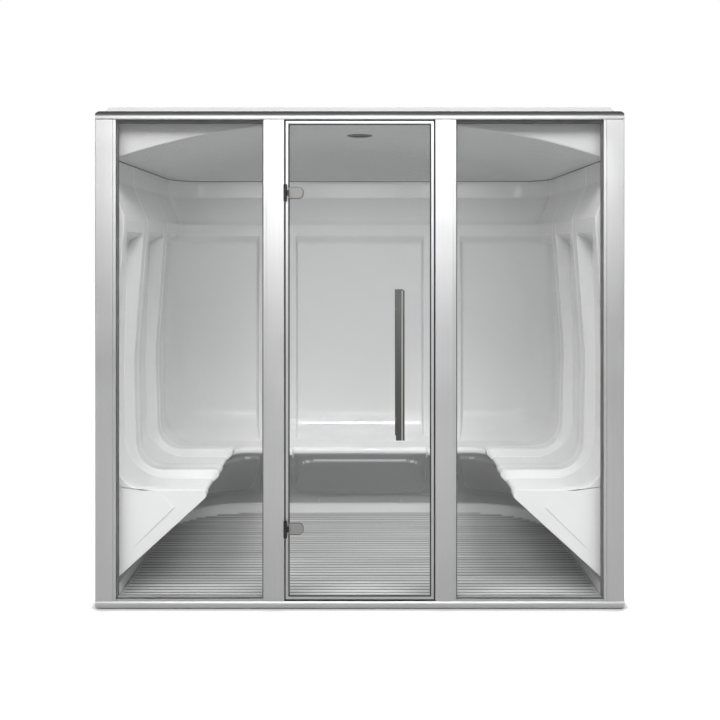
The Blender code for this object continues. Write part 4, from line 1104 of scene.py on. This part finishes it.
class BuildRearModule(bpy.types.Operator):
    """Moulding of the rear wall and its bench"""

    bl_idname = "steam_room.rear_module"
    bl_label = "Rear Module"

    def execute(self, context):
        sizes = context.scene.steam_liner
        end = REAR_JOINT - JOINT_GAP / 2
        plan = [(-end, 0.0), *strip(-end + CREST_END, -REAR_NICHE, 4)]
        plan += niche_plan(-REAR_NICHE, REAR_NICHE, sizes.flank_radius, 96)
        plan += [*strip(REAR_NICHE, end - CREST_END, 4), (end, 0.0)]
        rows = module_rows(plan, rear_station, rear_chain, 1.0, sizes.joint_radius, sizes.flange)

        def outside(x, point):
            half = REAR_PANEL_HALF + (REAR_PANEL_TOP - point[2]) * REAR_PANEL_FLARE
            side = (abs(x) - half) * REAR_PANEL_LEAN
            top = (point[2] - REAR_PANEL_TOP) * PANEL_TOP_SLOPE
            return outside_all((side, top, REAR_PANEL_FOOT - point[2]), REAR_PANEL_ROUND)

        raised_panel(rows[6:-6], [x for x, _ in plan[1:-1]], outside, sizes.panel, PANEL_STEP)
        obj = moulded("rear_moulding", rows, sizes.skin)
        fitted(obj, None, nodes=["rear_module"], slot="white_acrylic")
        return {"FINISHED"}


def rounded_path(centre_x, centre_d, radius, front, steps):
    """Plan of a line with round rear corners, from the front left round the rear to the front right."""
    left = [(-centre_x - radius, depth(front))]
    for angle in np.linspace(0, math.pi / 2, steps + 1):
        left.append((-centre_x - radius * math.cos(angle), depth(centre_d + radius * math.sin(angle))))
    return left + [(-x, y) for x, y in reversed(left)]


def wall_path(out, front):
    """Plan of the wall line moved outward."""
    return rounded_path(
        HALF_WIDTH - CORNER_RADIUS, LINER_REAR - CORNER_RADIUS, CORNER_RADIUS + out, front, 32
    )


def level_place(a, b, z):
    return (a, b, z)


def bounded(row, end):
    """A row of points across the room between an end point and its mirror image."""
    return [(-end[0], *end[1:]), *row, end]


class BuildCeiling(bpy.types.Operator):
    """Vaulted ceiling with its brow, and the gasket under it"""

    bl_idname = "steam_room.ceiling"
    bl_label = "Ceiling"

    def execute(self, context):
        sizes = context.scene.steam_liner
        vaulted = lofted("ceiling_moulding", np.array(self.rows(sizes)), CABIN_MIDDLE)
        fitted(vaulted, (finish("ceiling"), finish("laminate")))
        skinned(vaulted, sizes.skin)
        middle = centre("lamp_bezel")
        hole = plug("lamp_opening", LAMP_HOLE, -0.05, 0.05, (middle.x, middle.y, sizes.crown))
        hole.data.materials.append(finish("ceiling"))
        cut_by(vaulted, [hole])
        fitted(smooth(vaulted, 40), None, nodes=["ceiling_vault"], slot="white_acrylic")

        front = LINER_FRONT + 0.002
        outline = wall_path(RIM - 0.002, front) + wall_path(0.0005, front)[::-1]
        seal = drawn("seam_gasket", outline, SEAM_Z - 0.0013, SEAM_Z + 0.0013, level_place)
        fitted(smooth(seal, 30), finish("rubber"), nodes=["ceiling_gasket"], slot="dark_gasket")
        return {"FINISHED"}

    def rows(self, sizes):
        """Rows across the vault, from its front flange over the brow to the rim at its rear"""

        def vault(share, d):
            across = max(0.0, abs(share) - VAULT_FLAT) / (sizes.spring - VAULT_FLAT)
            along = max(0.0, d - VAULT_COVE) / (LINER_REAR - VAULT_COVE)
            rise = max(0.0, 1 - across**2) * math.sqrt(max(0.0, 1 - along**2))
            return CEILING_LOW + (sizes.crown - CEILING_LOW) * rise

        half_shares = [*np.linspace(0.0, sizes.spring, 34), 0.975, 1.0]
        shares = [-share for share in reversed(half_shares[1:])] + half_shares

        face = depth(LINER_FRONT)
        flange = [(share * (FLANGE_HALF - FLANGE_CORNER), face, FLANGE_TOP) for share in shares]
        rows = [bounded(flange, (FLANGE_HALF, face, FLANGE_TOP - FLANGE_CORNER))]
        for angle in np.linspace(0, math.pi / 2, 6)[:-1]:
            d = LINER_FRONT + BROW_RADIUS * (1 - math.cos(angle))
            lift = BROW_RADIUS * (1 - math.sin(angle))
            row = [(share * HALF_WIDTH, depth(d), vault(share, d) + lift) for share in shares]
            rows.append(bounded(row, (HALF_WIDTH + RIM, depth(d), CEILING_LOW + lift)))

        corner_from = LINER_REAR - CORNER_RADIUS
        stations = [(d, 0.0) for d in np.linspace(LINER_FRONT + BROW_RADIUS, VAULT_COVE, 16)]
        stations += [(d, 0.0) for d in np.linspace(VAULT_COVE, corner_from, 7)[1:-1]]
        for angle in np.linspace(0, math.pi / 2, 19):
            stations.append((corner_from + CORNER_RADIUS * math.sin(angle), angle))
        for d, angle in stations:
            half = HALF_WIDTH - CORNER_RADIUS * (1 - math.cos(angle))
            lean = min(angle, math.radians(66))
            row = [(share * half, depth(d), vault(share, d)) for share in shares]
            rim = (half + RIM * math.cos(lean), depth(d + RIM * math.sin(lean)), CEILING_LOW)
            rows.append(bounded(row, rim))
        half = HALF_WIDTH - CORNER_RADIUS
        last = [(share * half, depth(LINER_REAR + RIM), CEILING_LOW) for share in shares]
        rows.append(bounded(last, (half + RIM * 0.2, depth(LINER_REAR + RIM * 0.985), CEILING_LOW)))
        return rows


class BuildFloor(bpy.types.Operator):
    """Floor tray and its slatted grating"""

    bl_idname = "steam_room.floor"
    bl_label = "Floor"

    def execute(self, context):
        self.tray()
        self.grating(context.scene.steam_floor)
        return {"FINISHED"}

    def tray(self):
        """Pan with a raised rim, open at the front, and the drain's hole in it"""
        rim_z = TOE_Z - 0.0003
        front = LINER_FRONT + PAN_SETBACK
        half = HALF_WIDTH - SIDE_FOOT[0]
        tray = drawn("tray", wall_path(RIM, LINER_FRONT), TRAY_LOW, rim_z, level_place)
        foot = rounded_path(FOOT_X, FOOT_D, FOOT_RADIUS, front, 40)
        pan = drawn("pan", foot, PAN_Z, rim_z + 0.05, level_place)
        mouth = block(
            "mouth", (-half, depth(LINER_FRONT - 0.02), MOUTH_Z), (half, depth(front + 0.02), MOUTH_Z + 0.18)
        )
        middle = centre("drain_body")
        cut_by(tray, (pan, mouth, plug("tray_drain", DRAIN_HOLE, -0.01, 0.03, (middle.x, middle.y, 0))))
        smooth(bevelled(tray, 0.0015, 2, 40), 30)
        fitted(tray, finish("acrylic"), nodes=["floor_tray"], slot="white_acrylic")

    def grating(self, sizes):
        """Grooved slats on bearers, with dark webs between them"""
        w, t, g, r = sizes.width, sizes.thickness, sizes.groove, SLAT_ROUND
        front = LINER_FRONT + PAN_SETBACK + GRATING_GAP
        rear = LINER_REAR - REAR_FOOT[0] - GRATING_GAP
        count = int((rear - front + sizes.pitch - w) / sizes.pitch)

        def half_at(d):
            over = max(0.0, d - FOOT_D)
            return FOOT_X + math.sqrt(max(0.0, (FOOT_RADIUS - GRATING_GAP) ** 2 - over**2))

        def bar(name, outline, k, half):
            at = depth(front + k * sizes.pitch)
            return drawn(name, outline, -half, half, lambda a, b, x: (x, at + a, sizes.level + b))

        slat = [(0, -t), (w, -t), (w, -r), (w - r * 0.3, -r * 0.3), (w - r, 0)]
        for share in (0.75, 0.50, 0.25):
            slat += [(w * share + a, b) for a, b in ((0.0016, 0), (0.0010, -g), (-0.0010, -g), (-0.0016, 0))]
        slat += [(r, 0), (r * 0.3, -r * 0.3), (0, -r)]
        ends = [front + k * sizes.pitch + w for k in range(count)]
        halves = [half_at(end) for end in ends]
        bars = [bar("slat", slat, k, halves[k]) for k in range(count)]
        for k in range(BEARERS):
            x = (2 * k / (BEARERS - 1) - 1) * (half_at(front) - 4 * BEARER_HALF)
            end = max(end for end, half in zip(ends, halves) if half > abs(x) + 2 * BEARER_HALF)
            low = (x - BEARER_HALF, depth(front + 0.006), BEARER_LOW)
            bearer = block("bearer", low, (x + BEARER_HALF, depth(end - 0.006), sizes.level - t))
            bars.append(bevelled(bearer, 0.0015, 2))
        near, far, low, high = w - 0.0004, sizes.pitch + 0.0004, 0.0015 - t, -0.0018
        web = [(near, low), (far, low), (far, high), ((near + far) / 2, high - 0.0008), (near, high)]
        webs = [bar("web", web, k, halves[k + 1] - 0.012) for k in range(count - 1)]
        fitted(smooth(joined("slat_webs", webs), 30), finish("rubber"), slot="dark_gasket")
        grating = smooth(joined("slatted_grating", bars), 30)
        fitted(grating, finish("slats"), nodes=["floor_grating"], slot="grey_slats")


class BuildFrontFrame(bpy.types.Operator):
    """Sill, header, posts, mullions and sill beads"""

    bl_idname = "steam_room.front_frame"
    bl_label = "Front Frame"

    def execute(self, context):
        sizes = context.scene.steam_front
        self.rail("sill", 1, sizes.sill_nose, sizes.sill_brow)
        self.rail("header", -1, sizes.header_nose, 0.0)
        for part, tone in (("post", "upright"), ("mullion", "upright"), ("sill_bead", "rail")):
            for side, _ in SIDES:
                node = side + "_" + part
                dressed(node, node + "_extrusion", sizes.edge, tone, "satin_aluminium", degrees=32)
        return {"FINISHED"}

    def rail(self, node, sign, nose, brow):
        """A rail with a round nose at its outer edge, the corners of its ends cut off"""
        lo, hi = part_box(node)
        half, deep, middle = (hi.z - lo.z) / 2, hi.y - lo.y, (lo.z + hi.z) / 2
        outline = [(deep, -half), (deep, half)]
        if brow:
            turns = np.linspace(math.asin((2 * half - nose) / brow), 0, 9)[:-1]
            outline += [(brow * (1 - math.cos(a)), nose - half + brow * math.sin(a)) for a in turns]
        else:
            outline += [(0.0012, half), (0.0003, half - 0.0004), (0, half - 0.0014)]
        turns = np.linspace(0, math.pi / 2, 15)
        outline += [(nose * (1 - math.cos(a)), -half + nose * (1 - math.sin(a))) for a in turns]
        obj = drawn(
            node + "_extrusion", outline, lo.x, hi.x, lambda a, b, x: (x, lo.y + a, middle + sign * b)
        )
        edge_z, cut = (lo.z, RAIL_CUT) if sign > 0 else (hi.z, -RAIL_CUT)
        for end, side in ((lo.x, -1), (hi.x, 1)):
            with editing(obj):
                bpy.ops.mesh.bisect(
                    plane_co=(end, 0, edge_z + cut),
                    plane_no=(side, 0, -sign),
                    use_fill=True,
                    clear_outer=True,
                )
        fitted(smooth(obj, 30), finish("rail"), nodes=[node], slot="satin_aluminium")


class BuildGlazing(bpy.types.Operator):
    """Fixed panes, gaskets, door stop and seal"""

    bl_idname = "steam_room.glazing"
    bl_label = "Fixed Glazing"

    def execute(self, context):
        sizes = context.scene.steam_front
        for side, _ in SIDES:
            dressed(side + "_pane", side + "_pane_glass", 0.0008, "glass", "clear_glass", segments=2)
        for side, _ in SIDES:
            node = side + "_pane_gasket"
            obj = softened(node, node + "_rubber", sizes.rubber_edge, 2)
            fitted(obj, (finish("gasket"), finish("silicone")), nodes=[node], slot="dark_gasket")
            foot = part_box(node)[0].z + 0.012
            for face in obj.data.polygons:
                face.material_index = int(face.center.z < foot)
        dressed("door_seal", "door_seal_rubber", sizes.rubber_edge, "rubber", "dark_gasket", segments=2)
        dressed("door_stop_frame", "door_stop", sizes.edge, "upright", "satin_aluminium", segments=2)
        return {"FINISHED"}


class BuildDoor(bpy.types.Operator):
    """Door glass in its edge profile, with its gasket and pull bars"""

    bl_idname = "steam_room.door"
    bl_label = "Door"

    def execute(self, context):
        sizes = context.scene.steam_front
        for node, name, width, tone, slot in (
            ("door_edge_profile", "door_edge", 0.0010, "upright", "satin_aluminium"),
            ("door_gasket", "door_bead", sizes.rubber_edge, "rubber", "dark_gasket"),
            ("door_glass", "door_pane", 0.0006, "glass", "clear_glass"),
            ("lower_handle_stud", "lower_stud", 0.0008, "steel", "satin_steel"),
            ("upper_handle_stud", "upper_stud", 0.0008, "steel", "satin_steel"),
        ):
            dressed(node, name, width, tone, slot, "door")
        self.pull_bars(sizes)
        return {"FINISHED"}

    def pull_bars(self, sizes):
        """Two flat bars, each with a hollow polished strip let into its face, painted much lighter than the
        bar as a highlight line, and a rosette at each stud
        """
        first, last = sizes.inlay_from, sizes.inlay_from + sizes.inlay
        for side in ("outer", "inner"):
            lo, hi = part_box(side + "_handle")
            middle, half, thick = (lo.x + hi.x) / 2, (hi.x - lo.x) / 2, hi.y - lo.y

            def place(a, b, z, side=side, lo=lo, hi=hi, middle=middle):
                return (middle + a, lo.y + b if side == "outer" else hi.y - b, z)

            bar = [(-half, 0), (first, 0), (first, 0.0024), (last, 0.0024), (last, 0), (half, 0)]
            bar += [(half, thick), (-half, thick)]
            obj = drawn(side + "_pull", eased(bar, 0.0013), lo.z, hi.z, place)
            smooth(bevelled(obj, 0.0007, 2, 60), 40)
            fitted(obj, finish("pull"), "door", [side + "_handle"], "satin_steel")
            # the strip is hollow and polished, and its lighter tone is a painted highlight line
            a, b = first + 0.0002, last - 0.0002
            shares = np.linspace(0, 1, 9)
            inlay = [(a + (b - a) * t, 0.0011 - 0.0008 * math.sin(math.pi * t)) for t in shares]
            inlay += [(b, 0.0023), (a, 0.0023)]
            obj = drawn(side + "_pull_inlay", inlay, lo.z + 0.001, hi.z - 0.001, place)
            fitted(smooth(obj, 35), finish("polish_highlight"), "door", slot="satin_steel")
        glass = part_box("door_glass")
        pattern = smooth(turned("rosette", eased(ROSETTE, 0.0008), steps=40), 40)
        for level in LEVELS:
            stud = centre(level + "_handle_stud")
            for side, y, way in (("outer", glass[0].y, -1), ("inner", glass[1].y, 1)):
                obj = copied(pattern, level + "_" + side + "_rosette")
                at = (stud.x, y + way * 0.0001, stud.z)
                fitted(moved(obj, at, facing((0, way, 0))), finish("steel"), "door", slot="satin_steel")
        bpy.data.objects.remove(pattern, do_unlink=True)


class BuildHinges(bpy.types.Operator):
    """Door hinges with their screws"""

    bl_idname = "steam_room.hinges"
    bl_label = "Hinges"

    def execute(self, context):
        sizes = context.scene.steam_front
        for level in LEVELS:
            dressed(level + "_hinge_bracket", level + "_bracket", sizes.plate_edge, "barrel", "satin_steel")
            self.leaf(level, sizes)
            self.pin(level)
            self.clamp(level, sizes)
        return {"FINISHED"}

    def leaf(self, level, sizes):
        """The D-shaped plate outside the glass, dark at its knuckle, on a dark pad whose rim round it is a
        painted shadow
        """
        node = level + "_hinge_leaf"
        obj = softened(node, level + "_leaf", sizes.plate_edge, 3)
        fitted(obj, (finish("plate"), finish("barrel")), "door", [node], "satin_steel")
        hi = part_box(node)[1]
        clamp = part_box(level + "_hinge_clamp")
        left = clamp[0].x - 0.008
        for face in obj.data.polygons:
            face.material_index = int(face.center.x < left + 0.0003)
        middle, height, grow = (clamp[0].z + clamp[1].z) / 2, clamp[1].z - clamp[0].z, sizes.hinge_shadow_pad
        radius = height * 0.40 + grow
        outline = [(left + 0.001, -height / 2 - grow)]
        for sign, first in ((-1, -math.pi / 2), (1, 0.0)):
            for angle in np.linspace(first, first + math.pi / 2, 9):
                x = hi.x + grow - radius + radius * math.cos(angle)
                outline.append((x, sign * (height / 2 + grow - radius) + radius * math.sin(angle)))
        outline.append((left + 0.001, height / 2 + grow))
        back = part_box("door_edge_profile")[0].y - 0.0002
        # the pad's dark rim round the leaf is a painted shadow of the leaf's edge
        pad = drawn(level + "_hinge_shadow_pad", outline, back - 0.0016, back, lambda a, b, y: (a, y, middle + b))
        fitted(smooth(bevelled(pad, 0.0004, 2, 50), 40), finish("rubber"), "door", slot="dark_gasket")

    def pin(self, level):
        """The pin with a pointed finial at each end"""
        node = level + "_hinge_pin"
        lo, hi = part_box(node)
        radius, half = (hi.x - lo.x) / 2, (hi.z - lo.z) / 2
        cap = half - 0.005
        side = [(radius, cap), (radius * 1.7, cap + 0.0002), (radius * 1.75, cap + 0.0012)]
        side += [(radius, cap + 0.0030), (radius * 0.45, half - 0.0006), (0, half)]
        outline = [(0, -half)] + [(r, -z) for r, z in reversed(side[:-1])] + side
        obj = turned(level + "_pin", outline, centre(node), steps=32)
        fitted(smooth(obj, 35), finish("barrel"), "cabin", [node], "satin_steel")

    def clamp(self, level, sizes):
        """The plate inside the glass with its two screws"""
        node = level + "_hinge_clamp"
        dressed(node, level + "_clamp", sizes.plate_edge, "plate", "satin_steel", "door")
        lo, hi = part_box(node)
        r = sizes.screw
        head = [(0, -0.0012), (r, -0.0012), (r, 0.0006), (r * 0.80, 0.0016), (r * 0.50, 0.0018)]
        head += [(r * 0.46, 0.0004), (0, 0.0004)]
        for place, share in (("near", 0.30), ("far", 0.68)):
            at = (lo.x + (hi.x - lo.x) * share, hi.y, (lo.z + hi.z) / 2)
            screw = turned(level + "_" + place + "_screw", eased(head, 0.0003, 2), at, facing((0, 1, 0)), 24)
            fitted(smooth(screw, 35), finish("barrel"), "door", slot="satin_steel")


class BuildFittings(bpy.types.Operator):
    """Lamp, drain, steam nozzle, inlet pipe and temperature sensor"""

    bl_idname = "steam_room.fittings"
    bl_label = "Fittings"

    def execute(self, context):
        for node, tone, slot in (
            ("lamp_housing", "zinc", "lamp_metal"),
            ("drain_body", "steel", "satin_steel"),
            ("drain_cover", "steel", "satin_steel"),
        ):
            dressed(node, node + "_piece", 0.0006, tone, slot, segments=2, degrees=40)
        self.lamp(context.scene.steam_liner.crown)
        self.steam_inlet()
        self.sensor()
        return {"FINISHED"}

    def lamp(self, crown):
        """Stepped lamp ring and its ridged lens"""
        at = (*centre("lamp_bezel").xy, crown)
        obj = smooth(turned("lamp_ring", eased(LAMP_RING, 0.0009), at, steps=72), 40)
        fitted(obj, finish("lamp_ring"), nodes=["lamp_bezel"], slot="white_plastic")
        lens = [(0, 0.0118), (0.0479, 0.0118), (0.0479, 0.0036)]
        for r in LENS_RIDGES:
            lens += [(r + 0.0022, 0.0031), (r, 0.0048), (r - 0.0024, 0.0031)]
        obj = smooth(turned("lamp_glass", lens + [(0, 0.0031)], at, steps=72), 25)
        fitted(obj, finish("opal"), nodes=["lamp_lens"], slot="lamp_diffuser")

    def steam_inlet(self):
        """Hooded nozzle low on the bench front, and the bent pipe that feeds it"""
        foot, nose = SIDE_NICHE[1], SIDE_NICHE[2]
        slope = (nose[1] - foot[1]) / (nose[0] - foot[0])
        out = Vector((-math.sin(math.atan(slope)), 0, -math.cos(math.atan(slope))))
        level = foot[1] + slope * (NOZZLE_REACH - foot[0])
        at = Vector((HALF_WIDTH - NOZZLE_REACH, depth(CORNER_JOINT - NOZZLE_SET), level))
        obj = smooth(turned("steam_hood", eased(HOOD, 0.0016), at, facing(out), 64), 40)
        fitted(obj, finish("steel"), nodes=["steam_nozzle"], slot="satin_steel")

        knee = -out * PIPE_KNEE
        start, end = -out * (PIPE_KNEE - PIPE_BEND), knee + Vector((PIPE_BEND, 0, 0))
        path = [Vector((0, 0, 0)), -out * PIPE_STUB]
        for t in np.linspace(0, 1, 14).tolist():
            path.append((1 - t) ** 2 * start + 2 * t * (1 - t) * knee + t * t * end)
        path.append(Vector((NOZZLE_REACH + RIM, 0, knee.z)))
        turns = np.linspace(0, 2 * math.pi, 33)
        rows = []
        for k, point in enumerate(path):
            along = (path[min(k + 1, len(path) - 1)] - path[max(k - 1, 0)]).normalized()
            across = along.cross(Vector((0, 1, 0)))
            arms = [across * math.cos(a) + Vector((0, math.sin(a), 0)) for a in turns]
            rows.append([at + point + PIPE_RADIUS * arm for arm in arms])
        pipe = lofted("steam_pipe", np.array(rows), CABIN_MIDDLE)
        with editing(pipe):
            bpy.ops.mesh.remove_doubles(threshold=MERGE)
            bpy.ops.mesh.select_all(action="SELECT")
            bpy.ops.mesh.fill_holes(sides=0)
            face_out()
        smooth(pipe, 40)
        nut = turned("pipe_nut", eased(NUT, 0.0012), at - out * 0.0075, facing(-out), 6)
        fitted(smooth(nut, 20), finish("zinc"), slot="lamp_metal")
        fitted(pipe, finish("steel"), nodes=["steam_inlet_pipe"], slot="satin_steel")

    def sensor(self):
        """Small probe on the rear crest"""
        low, high = CREST_BACK[0], CREST_BACK[1]
        lean = math.atan2(high[0] - low[0], high[1] - low[1])
        z = SEAM_Z - SENSOR_DROP
        face = LINER_REAR - low[0] - (z - low[1]) * math.tan(lean)
        at = (-REAR_JOINT - SENSOR_SET, depth(face - 0.0003), z)
        way = (0, -math.cos(lean), -math.sin(lean))
        obj = smooth(turned("sensor_probe", eased(PROBE, 0.0006), at, facing(way), 40), 40)
        fitted(obj, finish("steel"), nodes=["temperature_sensor"], slot="satin_steel")


class BuildJointBolts(bpy.types.Operator):
    """Bolts through the joint flanges behind the mouldings"""

    bl_idname = "steam_room.joint_bolts"
    bl_label = "Joint Bolts"

    def execute(self, context):
        sizes = context.scene.steam_liner
        r = sizes.bolt
        reach = sizes.skin + JOINT_GAP / 2
        parts = []
        for sign in (1, -1):
            washer = eased([(0, 0), (r * 2.1, 0), (r * 2.1, 0.0013), (0, 0.0013)], 0.0004, 1)
            parts.append(turned("washer", washer, steps=20))
            head = eased([(0, 0.0013), (r * 1.75, 0.0013), (r * 1.75, 0.0058), (0, 0.0062)], 0.0006, 1)
            parts.append(turned("head", head, steps=6))
            for obj in parts[-2:]:
                moved(obj, (0, 0, sign * reach), facing((0, 0, sign)))
        tip = -reach - 0.0085
        shank = [(0, tip), (r * 0.8, tip), (r, tip + 0.0007), (r, reach), (0, reach)]
        parts.append(turned("shank", shank, steps=12))
        pattern = smooth(joined("joint_bolt", parts), 25)
        for joint, station, chain, at, way in (
            ("side", side_station, side_chain, SIDE_JOINT, (0, 1, 0)),
            ("corner", side_station, side_chain, CORNER_JOINT, (0, 1, 0)),
            ("rear", rear_station, rear_chain, -REAR_JOINT, (1, 0, 0)),
        ):
            line = set_out(traced(chain(at, 0.0)), sizes.flange * 0.55)[COVE_LAST:]
            for side, sign in SIDES:
                bolts = []
                for z in BOLT_LEVELS:
                    point = line[np.argmin(np.abs(line[:, 1] - z))][None]
                    bolt = moved(copied(pattern, "bolt"), placed(station(at), point)[0], facing(way))
                    bolts.append(set_points(bolt, points_of(bolt) * (sign, 1, 1)))
                obj = joined(side + "_" + joint + "_bolts", bolts)
                if sign < 0:
                    with editing(obj):
                        face_out()
                fitted(obj, finish("zinc"), slot="lamp_metal")
        bpy.data.objects.remove(pattern, do_unlink=True)
        return {"FINISHED"}


class BuildSupports(bpy.types.Operator):
    """Bench ribs and tray pads"""

    bl_idname = "steam_room.supports"
    bl_label = "Supports"

    def execute(self, context):
        for node in frame["nodes"]:
            if node.endswith("_rib"):
                dressed(node, node + "_board", 0.0012, "plastic", "white_plastic", segments=2)
            if node.endswith("_pad"):
                dressed(node, node + "_rubber", 0.0008, "rubber", "dark_gasket", segments=2)
        return {"FINISHED"}


class BuildStudio(bpy.types.Operator):
    """Pale floor, soft light and the camera"""

    bl_idname = "steam_room.studio"
    bl_label = "Studio"

    def execute(self, context):
        studio = context.scene.steam_studio
        self.floor()
        self.lights(studio)
        self.sky(context.scene, studio)
        self.camera(context.scene, studio)
        context.scene.view_settings.view_transform = "Standard"
        return {"FINISHED"}

    def floor(self):
        """Floor that the camera sees white, with a painted contact shadow only where the room stands on it
        """
        deselect()
        bpy.ops.mesh.primitive_plane_add(size=80, location=(0, 0, -0.0002))
        floor = named("studio_floor")
        made, tree, shader = blank("studio_floor")
        tone = between(tree, noise(tree, spread(tree), 0.7, 1.0), *FLOOR_GREYS)
        tree.links.new(tone, shader.inputs["Base Color"])
        shader.inputs["Roughness"].default_value = 0.9
        # the glow that the camera sees is dimmed by ambient occlusion near the room: a painted contact
        # shadow
        near = put(tree, "ShaderNodeAmbientOcclusion", values={"Distance": 0.05}).outputs["AO"]
        strength = maths(tree, "POWER", near, 3.5)
        glow = put(tree, "ShaderNodeEmission", {"Strength": strength}, {"Color": WHITE})
        lit = put(tree, "ShaderNodeAddShader", {0: shader.outputs[0], 1: glow.outputs[0]})
        seen = put(tree, "ShaderNodeLightPath").outputs["Is Camera Ray"]
        surfaced(tree, put(tree, "ShaderNodeMixShader", {0: seen, 1: shader.outputs[0], 2: lit.outputs[0]}))
        floor.data.materials.append(made)

    def lights(self, studio):
        """Soft lights in front and behind, a strip for the metal, and two small lights in the cabin"""

        def lamp(name, at, aim, size, energy, beam=180, **seen):
            deselect()
            bpy.ops.object.light_add(type="AREA", location=at)
            light = named(name)
            light.data.shape = "RECTANGLE"
            light.data.size, light.data.size_y = size
            light.data.energy = energy
            light.data.spread = math.radians(beam)
            light.rotation_euler = (Vector(aim) - Vector(at)).to_track_quat("-Z", "Y").to_euler()
            for key, value in seen.items():
                setattr(light, key, value)

        def out(rise, swing):
            rise, swing = math.radians(rise), math.radians(swing)
            level = LIGHT_AWAY * math.cos(rise)
            height = LIGHT_AIM + LIGHT_AWAY * math.sin(rise)
            return (level * math.sin(swing), depth(-level * math.cos(swing)), height)

        aim = (0, depth(0), LIGHT_AIM)
        for side, sign in SIDES:
            at = out(studio.rise, -sign * studio.swing)
            lamp(side + "_key", at, aim, KEY_SIZE, studio.key, visible_glossy=False)
            at = out(studio.rise, -sign * (180 - studio.swing))
            lamp(side + "_rear", at, aim, KEY_SIZE, studio.rear, visible_glossy=False)
        lamp("metal_strip", out(STRIP_RISE, 0.0), aim, STRIP_SIZE, studio.strip, visible_diffuse=False)
        for name, line, size, power, beam, unseen in (
            ("cabin_fill", FILL_LINE, FILL_SIZE, studio.fill, FILL_BEAM, "visible_glossy"),
            ("cove_glint", GLINT_LINE, GLINT_SIZE, studio.glint, GLINT_BEAM, "visible_diffuse"),
        ):
            at, aim = [(0, depth(d), z) for d, z in line]
            lamp(name, at, aim, size, power, beam, visible_camera=False, **{unseen: False})

    def sky(self, scene, studio):
        """Grey bands round the room, dimmer for matt faces, and plain white for the camera"""
        world = bpy.data.worlds.new("studio_world")
        scene.world = world
        world.use_nodes = True
        tree = world.node_tree
        back = tree.nodes["Background"]
        back.inputs["Color"].default_value = WHITE
        way = put(tree, "ShaderNodeTexCoord").outputs["Generated"]
        parts = put(tree, "ShaderNodeSeparateXYZ", {0: way})
        band = put(tree, "ShaderNodeValToRGB", {"Fac": parts.outputs["Z"]})
        band.color_ramp.interpolation = "EASE"
        stops = band.color_ramp.elements
        for place, level in SKY_BAND:
            at_end = {0.0: 0, 1.0: -1}.get(place)
            stop = stops.new(place) if at_end is None else stops[at_end]
            stop.color = (level, level, level, 1)
        front = ranged(tree, parts.outputs["Y"], studio.panel, studio.panel * 0.7, -0.6, 0.3)
        path = put(tree, "ShaderNodeLightPath")
        dim = ranged(tree, path.outputs["Is Diffuse Ray"], 1.0, studio.ambient, 0.0, 1.0)
        strength = maths(tree, "MULTIPLY", maths(tree, "MULTIPLY", band.outputs[0], front), dim)
        tree.links.new(strength, back.inputs["Strength"])
        seen = put(tree, "ShaderNodeBackground", values={"Color": WHITE, "Strength": 1.0})
        links = {0: path.outputs["Is Camera Ray"], 1: back.outputs[0], 2: seen.outputs[0]}
        surfaced(tree, put(tree, "ShaderNodeMixShader", links), "World Output")

    def camera(self, scene, studio):
        """Camera square to the front"""
        deselect()
        bpy.ops.object.camera_add(
            location=(0.0, depth(-studio.distance), studio.eye), rotation=(math.pi / 2, 0, 0)
        )
        camera = named("camera")
        camera.data.lens = studio.lens
        camera.data.sensor_width = 36.0
        camera.data.shift_x, camera.data.shift_y = CAMERA_SHIFT
        scene.camera = camera


class SteamRoomPanel(bpy.types.Panel):
    """Lists the pieces of the room"""

    bl_idname = "VIEW3D_PT_steam_room"
    bl_label = "Steam Room"
    bl_space_type = "VIEW_3D"
    bl_region_type = "UI"
    bl_category = "Steam Room"

    def draw(self, context):
        for group in ("steam_liner", "steam_front", "steam_floor", "steam_finish", "steam_studio"):
            box = self.layout.box()
            owner = getattr(context.scene, group)
            for key in owner.__annotations__:
                box.prop(owner, key)
        for operator in OPERATORS:
            self.layout.operator(operator.bl_idname)


GROUPS = {
    "steam_liner": LinerSizes,
    "steam_front": FrontSizes,
    "steam_floor": FloorSizes,
    "steam_finish": Finishes,
    "steam_studio": StudioSizes,
}
OPERATORS = (
    BuildStudio,
    BuildSideModules,
    BuildEndPanels,
    BuildCornerModules,
    BuildRearModule,
    BuildCeiling,
    BuildFloor,
    BuildFrontFrame,
    BuildGlazing,
    BuildDoor,
    BuildHinges,
    BuildFittings,
    BuildJointBolts,
    BuildSupports,
)


def register():
    for group in GROUPS.values():
        bpy.utils.register_class(group)
    for key, group in GROUPS.items():
        setattr(bpy.types.Scene, key, bpy.props.PointerProperty(type=group))
    for operator in OPERATORS:
        bpy.utils.register_class(operator)
    bpy.utils.register_class(SteamRoomPanel)


def unregister():
    bpy.utils.unregister_class(SteamRoomPanel)
    for operator in reversed(OPERATORS):
        bpy.utils.unregister_class(operator)
    for key, group in GROUPS.items():
        delattr(bpy.types.Scene, key)
        bpy.utils.unregister_class(group)


def main():
    register()
    for operator in OPERATORS:
        group, name = operator.bl_idname.split(".")
        getattr(getattr(bpy.ops, group), name)()


if __name__ == "__main__":
    main()
